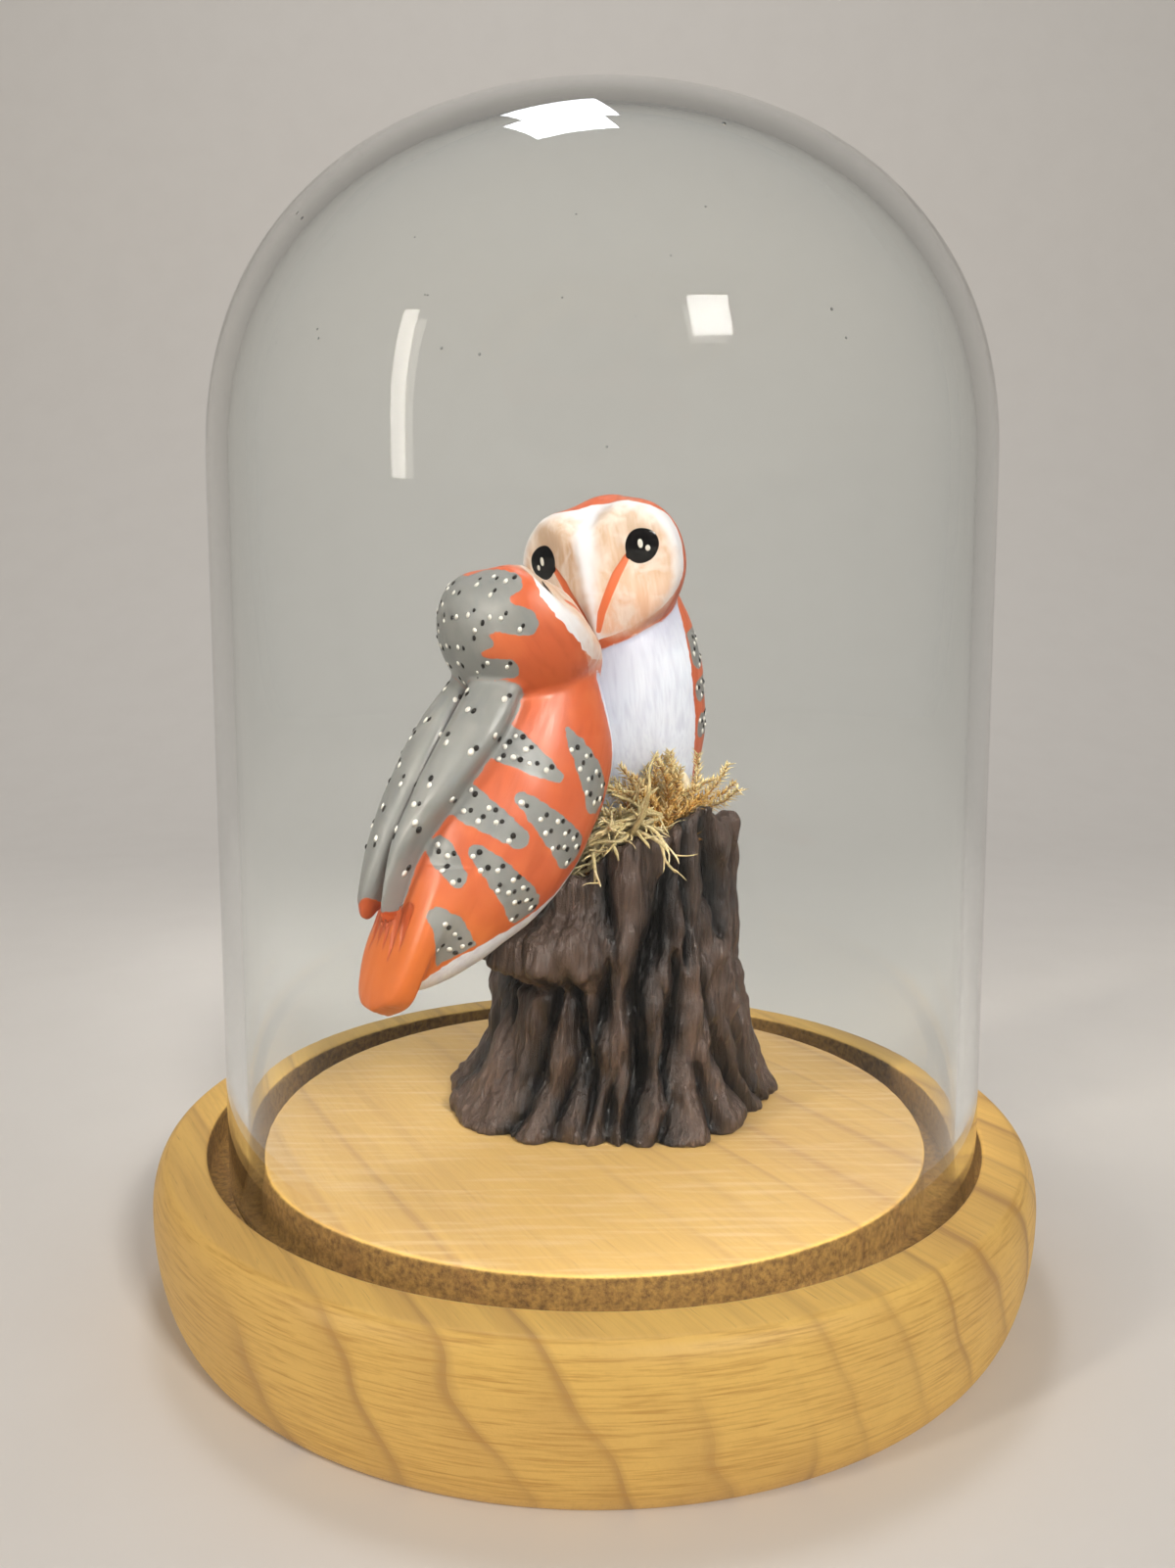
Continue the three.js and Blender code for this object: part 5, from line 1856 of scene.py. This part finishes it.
def painted_clay(settings):
    """Polymer clay painted by hand with satin acrylic: soft brush marks, slightly raised edges."""
    material, tree = new_material("Polymer Clay, satin acrylic paint")
    own = add_node(tree, "ShaderNodeAttribute", attribute_name="own_place").outputs["Vector"]
    # The edge of each mark wavers by about 0.2 mm, over 1.5 mm.
    edge_noise = add_node(
        tree, "ShaderNodeTexNoise", {"Vector": own, "Scale": 1 / 1.5, "Detail": 2.0}
    ).outputs["Fac"]
    wobble = add_node(
        tree, "ShaderNodeMapRange", {"Value": edge_noise, "From Min": 0.2, "From Max": 0.8,
            "To Min": -0.3, "To Max": 0.3}
    ).outputs[0]
    # Brush hairs leave lines 0.35 mm apart and about 5 mm long, down the body.
    brush_place = add_node(
        tree, "ShaderNodeMapping", {"Vector": own, "Scale": (1 / 0.35, 1 / 0.35, 1 / 5)}
    ).outputs["Vector"]
    hairs = add_node(
        tree, "ShaderNodeTexNoise", {"Vector": brush_place, "Scale": 1.0, "Detail": 2.0, "Distortion": 0.4}
    ).outputs["Fac"]
    strokes = add_node(
        tree,
        "ShaderNodeTexNoise",
        {
            "Vector": add_node(
                tree, "ShaderNodeMapping", {"Vector": own, "Scale": (1 / 1.6, 1 / 1.6, 1 / 9)}
            ).outputs["Vector"],
            "Scale": 1.0,
            "Detail": 2.0,
        },
    ).outputs["Fac"]
    cloud = add_node(
        tree, "ShaderNodeTexNoise", {"Vector": own, "Scale": 1 / 7.0, "Detail": 2.0}
    ).outputs["Fac"]

    def between(value, low, high, most=1.0):
        return add_node(
            tree, "ShaderNodeMapRange", {"Value": value, "From Min": low, "From Max": high, "To Max": most}
        ).outputs[0]

    # Flanks, nape and tail.
    colour = painted_over(tree, tuple(settings.orange), linear("#CE6E40"), between(cloud, 0.5, 0.75, 0.7))
    colour = painted_over(tree, colour, linear("#AC4E28"), between(strokes, 0.5, 0.72, 0.55))
    height = add_node(tree, "ShaderNodeSeparateXYZ", {"Vector": own}).outputs["Z"]
    body_height = add_node(tree, "ShaderNodeAttribute", attribute_name="body_height").outputs["Fac"]
    # Lower on the body and on the tail the orange turns yellower: a painted pool of warm light.
    colour = painted_over(tree, colour, linear("#CC6C22"), between(body_height, 10.0, -3.0, 0.65))
    # Breast and the face's border, with cool thin places.
    white = painted_over(tree, tuple(settings.white), linear("#B7B7C9"), between(strokes, 0.48, 0.72, 0.6))
    white = painted_over(tree, white, linear("#C6C8D8"), between(hairs, 0.48, 0.7, 0.55))
    # Darker and cooler close under the head: a painted shadow.
    shade = add_node(tree, "ShaderNodeAttribute", attribute_name="chin_shade").outputs["Fac"]
    white = painted_over(tree, white, linear("#9897B0"), between(shade, 6.0, 0.3, 0.55))
    white = painted_over(tree, white, linear("#E2DEDC"), between(body_height, 48.0, 50.0, 0.75))
    colour = painted_over(tree, colour, white, inside_mark(tree, "white", wobble=wobble))
    # Face halves: scumbled tan, peachy towards the chin.
    face = painted_over(tree, tuple(settings.face), linear("#B98D66"), between(cloud, 0.48, 0.72, 0.7))
    face = painted_over(tree, face, linear("#B09A84"), between(height, 1.0, 9.0, 0.65))
    face = painted_over(tree, face, linear("#DBA283"), between(height, -2.0, -9.0, 0.65))
    scumble = add_node(
        tree, "ShaderNodeTexNoise", {"Vector": own, "Scale": 1 / 3.2, "Detail": 4.0, "Distortion": 0.6}
    ).outputs["Fac"]
    face = painted_over(tree, face, linear("#D9CCC1"), between(scumble, 0.44, 0.62, 0.7))
    face = painted_over(tree, face, linear("#E8DACD"), between(strokes, 0.48, 0.7, 0.4))
    face = painted_over(tree, face, linear("#BE8F60"), between(hairs, 0.5, 0.7, 0.25))
    colour = painted_over(tree, colour, face, inside_mark(tree, "face", softness=1.1, wobble=wobble))
    # Cap, wings and patches.
    grey = painted_over(tree, tuple(settings.grey), linear("#918F8A"), between(cloud, 0.5, 0.75, 0.6))
    grey = painted_over(tree, grey, linear("#6E7073"), between(strokes, 0.5, 0.75, 0.45))
    colour = painted_over(tree, colour, grey, inside_mark(tree, "grey", wobble=wobble))
    # Darker orange at the wings' jagged ends and on the tail under them: feather tips, partly a painted shadow
    # of the wing tips.
    colour = painted_over(tree, colour, linear("#B04E22"), inside_mark(tree, "tips", wobble=wobble))
    colour = painted_over(tree, colour, linear("#CC6437"), inside_mark(tree, "tear", wobble=None))
    colour = painted_over(tree, colour, linear("#E2D3B4"), inside_mark(tree, "foot", softness=0.15))
    rough = add_node(
        tree, "ShaderNodeMapRange", {"Value": strokes, "From Min": 0.3, "From Max": 0.7, "To Min": 0.33,
            "To Max": 0.48}
    ).outputs[0]
    relief = add_node(
        tree, "ShaderNodeMath", {0: hairs, 1: 0.5, 2: strokes}, operation="MULTIPLY_ADD"
    ).outputs[0]
    bump = add_node(tree, "ShaderNodeBump", {"Height": relief, "Strength": 0.3, "Distance": 0.12 * MM})
    shader = add_node(
        tree,
        "ShaderNodeBsdfPrincipled",
        {
            "Base Color": colour,
            "Roughness": rough,
            "Normal": bump.outputs[0],
            "IOR": 1.5,
            "Subsurface Weight": 0.05,
            "Subsurface Radius": (0.5 * MM, 0.3 * MM, 0.2 * MM),
        },
    )
    finish_material(tree, shader)
    return material


def paint_dot(name, hex_colour, worn):
    """A bead of acrylic left by a dotting tool: rounded, satin, its colour a little uneven."""
    material, tree = new_material(name)
    noise = add_node(
        tree, "ShaderNodeTexNoise", {"Vector": place_in_mm(tree, (0.6, 0.6, 0.6)), "Scale": 1.0}
    ).outputs["Fac"]
    cover = add_node(
        tree, "ShaderNodeMapRange", {"Value": noise, "From Min": 0.4, "From Max": 0.7, "To Max": 0.5}
    ).outputs[0]
    colour = painted_over(tree, linear(hex_colour), linear(worn), cover)
    shader = add_node(
        tree, "ShaderNodeBsdfPrincipled", {"Base Color": colour, "Roughness": 0.32, "IOR": 1.5}
    )
    finish_material(tree, shader)
    return material


def point_normals(points, quads):
    """Outward direction at each point of a four-sided mesh."""
    corners = points[quads]
    flat = np.cross(corners[:, 2] - corners[:, 0], corners[:, 3] - corners[:, 1])
    normals = np.zeros_like(points)
    for k in range(4):
        np.add.at(normals, quads[:, k], flat)
    return normals / np.maximum(np.linalg.norm(normals, axis=1), 1e-9)[:, None]


def scattered(points, spacing, most, seed):
    """Indices of points picked by chance, each at least the spacing from the others."""
    chance = np.random.default_rng(seed)
    kept = []
    for i in chance.permutation(len(points)):
        if len(kept) >= most:
            break
        if all(np.linalg.norm(points[i] - points[j]) >= spacing for j in kept):
            kept.append(i)
    return kept


class OwlMaker:
    """Builds one owl: its clay skin, its eyes and its pairs of dots."""

    def build_skin(self, owl, settings, others):
        clay = owl.press_together(settings.fineness / MM)
        for other in others:
            for part in ("head", "trunk", "wing_right"):
                near, far = node_box(f"{other.name}_{part}")
                clay.cut_away(near - 1, far + 1, lambda p, o=other, q=part: o.part_volume(q, p) - 0.04, 0.2)
        points, quads = clay.skin()
        normals = point_normals(points, quads)
        marks, own = owl.marks(points.astype(np.float32))
        lift = 0.1 * hand_marks(points.astype(np.float32), 9, seed=len(owl.patches))
        lift += 0.05 * smooth_step(-marks["grey"] / 0.3) + 0.12 * smooth_step(-marks["tear"] / 0.35 + 0.3)
        lift += 0.2 * smooth_step(-marks["tips"] / 0.5)
        points = points + normals * lift[:, None]
        material = bpy.data.materials.get("Polymer Clay, satin acrylic paint") or painted_clay(settings)
        skin = make_piece(f"{owl.name}_clay", points, quads.tolist(), material, "base")
        for mark, distance in marks.items():
            store(skin, mark, distance)
        store(skin, "own_place", own)
        flesh = ["head", "trunk", "wing_left", "wing_right", "tail"]
        flesh += ["foot_left", "foot_right"] if owl.feet else []
        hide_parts(*[f"{owl.name}_{part}" for part in flesh])
        return points, normals, marks, own

    def build_dots(self, owl, settings, points, normals, marks):
        """Pairs of one white and one black raised dot over all the grey paint."""
        body = owl.body.inside(points)
        of_head = owl.part_volume("head", points.astype(np.float32))
        of_wings = np.minimum(owl.wing_volume(body, 1), owl.wing_volume(body, -1))
        on_head = of_head < 0.35
        on_wings = (of_wings < 0.35) & ~on_head
        inner = marks["grey"] < -0.75
        back_of_wing = on_wings & (marks["grey"] < -1.2) & (body[:, 2] > 6)
        zones = [
            (inner & ~on_head & ~on_wings, 2.05, 120, 3, 1.0, 0.2),
            (back_of_wing, 3.1, 36, 5, 1.0, 0.7),
            (inner & on_head, 2.7, 56, 7, 0.8, 0.9),
        ]
        down = -owl.body.axes[2]
        radius = settings.dot_radius / MM
        heaps = {"white": Heap(), "black": Heap()}
        chance = np.random.default_rng(17)
        for zone, spacing, most, seed, scale, loose in zones:
            where = np.flatnonzero(zone)
            where = where[:: max(len(where) // 6000, 1)]
            for i in scattered(points[where], spacing, most, seed):
                centre, normal = points[where[i]], normals[where[i]]
                side = np.cross(normal, down)
                side /= np.linalg.norm(side)
                lengthwise = np.cross(side, normal)
                turn = chance.normal(0.6, 0.4 + loose)
                aim = math.cos(turn) * side + math.sin(turn) * lengthwise
                reach = radius * scale * chance.uniform(1.0, 1.2 + loose)
                for colour, sign in (("white", 1), ("black", -1)):
                    size = radius * scale * chance.uniform(0.82, 1.12) * (1 if colour == "white" else 0.94)
                    stretch = 1 + 0.5 * loose * chance.uniform(0, 1)
                    self.dot(heaps[colour], centre + sign * reach * aim, normal, lengthwise, size, stretch)
        return heaps

    def dot(self, heap, centre, normal, aim, radius, stretch):
        """One low bead of paint standing on the skin, drawn out along its aim by the stretch."""
        across = np.cross(normal, aim)
        rings, spokes = 3, 10
        points, faces = [centre - normal * radius * 0.5], []
        for ring in range(rings):
            lift = math.sin(ring / rings * math.pi / 2) * radius * 0.62 - radius * 0.12
            out = math.cos(ring / rings * math.pi / 2) * radius
            for k in range(spokes):
                a = 2 * math.pi * k / spokes
                level = stretch * math.cos(a) * aim + math.sin(a) * across
                points.append(centre + normal * lift + out * level)
        points.append(centre + normal * radius * 0.5)
        for k in range(spokes):
            m = (k + 1) % spokes
            faces.append((0, 1 + m, 1 + k))
            for ring in range(rings - 1):
                low = 1 + ring * spokes
                faces.append((low + k, low + m, low + spokes + m, low + spokes + k))
            top = 1 + (rings - 1) * spokes
            faces.append((top + k, top + m, len(points) - 1))
        heap.add(points, faces)

    def build_eyes(self, owl):
        """Two domed black eyes, each with its two painted glints."""
        black = bpy.data.materials.get("Gloss Enamel, black") or self.eye_enamel()
        glint = bpy.data.materials.get("Enamel Glint, off-white") or paint_dot(
            "Enamel Glint, off-white", "#D6D1C6", "#B9B3A8"
        )
        for side, word in ((-1, "left"), (1, "right")):
            aim = np.array(
                [
                    [
                        side * EYE["from_ridge"] * math.cos(FACE_SLANT),
                        RIDGE - EYE["from_ridge"] * math.sin(FACE_SLANT),
                        EYE["height"],
                    ]
                ]
            )
            aim /= np.linalg.norm(aim)
            round_head, face = head_reaches(aim)
            middle = aim[0] * soft_min(round_head, face, HEAD_BLEND)[0]
            middle[1] -= dish_depth(middle[0], middle[2]) - 0.1 + owl.swept_back(middle[None])[0]
            out = np.array([side * math.sin(FACE_SLANT), math.cos(FACE_SLANT), 0])
            right = np.array([math.cos(FACE_SLANT), -side * math.sin(FACE_SLANT), 0])
            up = np.array([0, 0, 1.0])
            radius, thick = EYE["across"] / 2, EYE["thickness"] / 2 * owl.eye_rise
            turned, faces = lathe(
                [(radius * math.sin(a), thick * math.cos(a)) for a in np.linspace(0, math.pi, 19)], 40
            )
            turned[:, 0] *= 1.16
            wavy = 1 + 0.025 * np.sin(3 * np.arctan2(turned[:, 1], turned[:, 0]) + side)
            local = middle + np.outer(turned[:, 0] * wavy, right) + np.outer(turned[:, 1] * wavy, up)
            local += np.outer(turned[:, 2], out)
            bead = make_piece(
                f"{owl.name}_{word}_eye_bead", owl.head.outside(local), faces, black, "base"
            )
            weld(bead)
            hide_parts(f"{owl.name}_eye_{word}")
            glints = Heap()
            for across, high, half_wide, half_tall in ((0.05, 0.25, 0.42, 0.72), (-1.05, -0.6, 0.4, 0.48)):
                u, v = -side * across, high
                lift = thick * math.sqrt(1 - (u * u + v * v) / radius**2)
                spot, spot_faces = lathe(
                    [(math.sin(a), math.cos(a)) for a in np.linspace(0, math.pi, 9)], 20
                )
                place = middle + right * u + up * v + out * (lift - 0.02)
                oval = place + np.outer(spot[:, 0] * half_wide, right) + np.outer(spot[:, 1] * half_tall,
                    up)
                glints.add(owl.head.outside(oval + np.outer(spot[:, 2] * 0.1, out)), spot_faces)
            piece = make_piece(
                f"{owl.name}_{word}_eye_glints", glints.points, glints.faces, glint, "base"
            )
            weld(piece)

    def eye_enamel(self):
        """Black enamel, brushed on thick: wet-looking and slightly domed."""
        material, tree = new_material("Gloss Enamel, black")
        noise = add_node(
            tree, "ShaderNodeTexNoise", {"Vector": place_in_mm(tree), "Scale": 0.9, "Detail": 2.0}
        ).outputs["Fac"]
        colour = painted_over(tree, linear("#070606"), linear("#15110F"), noise)
        bump = add_node(tree, "ShaderNodeBump", {"Height": noise, "Strength": 0.08, "Distance": 0.1 * MM})
        shader = add_node(
            tree,
            "ShaderNodeBsdfPrincipled",
            {"Base Color": colour, "Roughness": 0.1, "IOR": 1.5, "Normal": bump.outputs[0]},
        )
        finish_material(tree, shader)
        return material

    def build(self, owl, settings, others=()):
        points, normals, marks, _own = self.build_skin(owl, settings, others)
        heaps = self.build_dots(owl, settings, points, normals, marks)
        finishes = {
            "white": ("Acrylic Dot, white", "#E9E5DC", "#CFC9BC"),
            "black": ("Acrylic Dot, black", "#17130F", "#2A2420"),
        }
        for colour, heap in heaps.items():
            material = bpy.data.materials.get(finishes[colour][0]) or paint_dot(*finishes[colour])
            make_piece(f"{owl.name}_{colour}_dots", heap.points, heap.faces, material, "base")
        self.build_eyes(owl)


class OWLS_OT_owl_a(OwlMaker, bpy.types.Operator):
    """Models and paints the owl that leans in from the left, with its tail hanging free"""

    bl_idname = "clay_owls.owl_a"
    bl_label = "Leaning Owl"

    def execute(self, context):
        self.build(OWL_A, context.scene.owls_clay)
        return {"FINISHED"}


class OWLS_OT_owl_b(OwlMaker, bpy.types.Operator):
    """Models and paints the owl that stands upright on the stump"""

    bl_idname = "clay_owls.owl_b"
    bl_label = "Upright Owl"

    def execute(self, context):
        self.build(OWL_B, context.scene.owls_clay, others=[OWL_A])
        return {"FINISHED"}


# ---------------------------------------------------------------- stage


class StageSettings(bpy.types.PropertyGroup):
    """Floor, lights and camera."""

    lens: FloatProperty(
        name="Lens",
        description="Focal length of the camera",
        default=26.16,
        min=5,
        max=200,
        unit="CAMERA",
    )
    camera_height: FloatProperty(
        name="Camera Height",
        description="Height of the camera over the floor",
        default=0.0951,
        min=0,
        unit="LENGTH",
        subtype="DISTANCE",
    )
    camera_distance: FloatProperty(
        name="Camera Distance",
        description="Distance of the camera from the middle of the base",
        default=0.1861,
        min=0.05,
        unit="LENGTH",
        subtype="DISTANCE",
    )
    light: FloatProperty(
        name="Light",
        description="Strength of all the studio lights",
        default=1.0,
        min=0,
        max=10,
        subtype="FACTOR",
    )
    paper: FloatVectorProperty(
        name="Floor",
        description="Colour of the floor and backdrop",
        default=linear("#E4E0DA"),
        size=3,
        min=0,
        max=1,
        subtype="COLOR",
    )


class OWLS_OT_stage(bpy.types.Operator):
    """Lays the pale floor, sets the soft lights and the camera"""

    bl_idname = "clay_owls.stage"
    bl_label = "Stage"

    def floor(self, settings):
        """Plain pale floor that curves up into a backdrop."""
        material, tree = new_material("Studio Paper, matt")
        place = add_node(tree, "ShaderNodeTexCoord").outputs["Object"]
        noise = add_node(tree, "ShaderNodeTexNoise", {"Vector": place, "Scale": 40.0,
            "Detail": 3.0}).outputs["Fac"]
        faint = add_node(
            tree, "ShaderNodeMapRange", {"Value": noise, "From Min": 0.4, "From Max": 0.7, "To Max": 0.12}
        ).outputs[0]
        colour = painted_over(tree, tuple(settings.paper), linear("#D6D1CA"), faint)
        shader = add_node(tree, "ShaderNodeBsdfPrincipled", {"Base Color": colour, "Roughness": 0.8})
        finish_material(tree, shader)
        half_width, front, back, bend, height = 2.2, -1.6, 0.9, 0.5, 2.2
        profile = [(front, 0.0), (back - bend, 0.0)]
        profile += [
            (back - bend + bend * math.sin(a), bend - bend * math.cos(a))
            for a in np.linspace(0, math.pi / 2, 13)[1:]
        ]
        profile += [(back, height)]
        points = [(x, y, z) for y, z in profile for x in (-half_width, half_width)]
        faces = [(2 * i, 2 * i + 1, 2 * i + 3, 2 * i + 2) for i in range(len(profile) - 1)]
        mesh = bpy.data.meshes.new("stage_floor")
        mesh.from_pydata(points, [], faces)
        mesh.materials.append(material)
        mesh.polygons.foreach_set("use_smooth", np.full(len(mesh.polygons), True))
        floor = bpy.data.objects.new("stage_floor", mesh)
        bpy.context.scene.collection.objects.link(floor)

    def softbox(self, name, place, target, size, power, colour):
        """A rectangular soft light aimed at a point."""
        lamp = bpy.data.lights.new(name, "AREA")
        lamp.shape = "RECTANGLE"
        lamp.size, lamp.size_y = size
        lamp.energy = power
        lamp.color = linear(colour)
        light = bpy.data.objects.new(name, lamp)
        light.location = place
        light.rotation_mode = "QUATERNION"
        light.rotation_quaternion = (Vector(target) - Vector(place)).to_track_quat("-Z", "Y")
        bpy.context.scene.collection.objects.link(light)

    def camera(self, settings):
        pitch = math.radians(5.73)
        roll = math.radians(0.07)
        data = bpy.data.cameras.new("camera")
        data.lens = settings.lens
        data.sensor_width = 36
        data.clip_start, data.clip_end = 0.01, 20
        camera = bpy.data.objects.new("camera", data)
        camera.location = (-0.95 * MM, -settings.camera_distance, settings.camera_height)
        camera.rotation_euler = (math.pi / 2 - pitch, roll, 0)
        bpy.context.scene.collection.objects.link(camera)
        bpy.context.scene.camera = camera

    def execute(self, context):
        settings = context.scene.owls_stage
        self.floor(settings)
        middle = (0, 0, 0.07)
        power = settings.light
        self.softbox("light_key", (0.55, -1.0, 0.78), middle, (0.22, 0.22), 9.0 * power, "#FFFAF4")
        self.softbox("light_left", (-0.95, -0.7, 0.55), middle, (0.09, 0.5), 4.6 * power, "#FFF6EA")
        self.softbox("light_top", (-0.1, 0.35, 1.3), middle, (0.26, 0.26), 2.4 * power, "#F6F8FF")
        world = bpy.data.worlds.new("studio")
        world.use_nodes = True
        backdrop = world.node_tree.nodes["Background"]
        backdrop.inputs["Color"].default_value = (*linear("#EDEFF2"), 1)
        backdrop.inputs["Strength"].default_value = 0.2 * power
        context.scene.world = world
        context.scene.view_settings.view_transform = "Standard"
        self.camera(settings)
        return {"FINISHED"}


# ---------------------------------------------------------------- panel and running


PIECES = (
    (OWLS_OT_wood_base, "owls_base"),
    (OWLS_OT_owl_a, "owls_clay"),
    (OWLS_OT_owl_b, "owls_clay"),
    (OWLS_OT_tree_stump, "owls_stump"),
    (OWLS_OT_moss, "owls_moss"),
    (OWLS_OT_glass_dome, "owls_dome"),
    (OWLS_OT_stage, "owls_stage"),
)
SETTINGS = {
    "owls_base": BaseSettings,
    "owls_dome": DomeSettings,
    "owls_stump": StumpSettings,
    "owls_moss": MossSettings,
    "owls_clay": OwlSettings,
    "owls_stage": StageSettings,
}


class OWLS_PT_sidebar(bpy.types.Panel):
    """Lists the pieces of the clay owls, with the sizes and colours of each"""

    bl_idname = "OWLS_PT_sidebar"
    bl_label = "Clay Owls Under Glass"
    bl_space_type = "VIEW_3D"
    bl_region_type = "UI"
    bl_category = "Clay Owls"

    def draw(self, context):
        shown = set()
        for operator, group in PIECES:
            box = self.layout.box()
            if group not in shown:
                shown.add(group)
                settings = getattr(context.scene, group)
                for name in type(settings).__annotations__:
                    box.prop(settings, name)
            box.operator(operator.bl_idname, text=operator.bl_label)


def register():
    for group in SETTINGS.values():
        bpy.utils.register_class(group)
    for name, group in SETTINGS.items():
        setattr(bpy.types.Scene, name, PointerProperty(type=group))
    for operator, _group in PIECES:
        bpy.utils.register_class(operator)
    bpy.utils.register_class(OWLS_PT_sidebar)


def unregister():
    bpy.utils.unregister_class(OWLS_PT_sidebar)
    for operator, _group in reversed(PIECES):
        bpy.utils.unregister_class(operator)
    for name, group in SETTINGS.items():
        delattr(bpy.types.Scene, name)
        bpy.utils.unregister_class(group)


def main():
    register()
    for operator, _group in PIECES:
        family, name = operator.bl_idname.split(".")
        getattr(getattr(bpy.ops, family), name)()


if __name__ == "__main__":
    main()
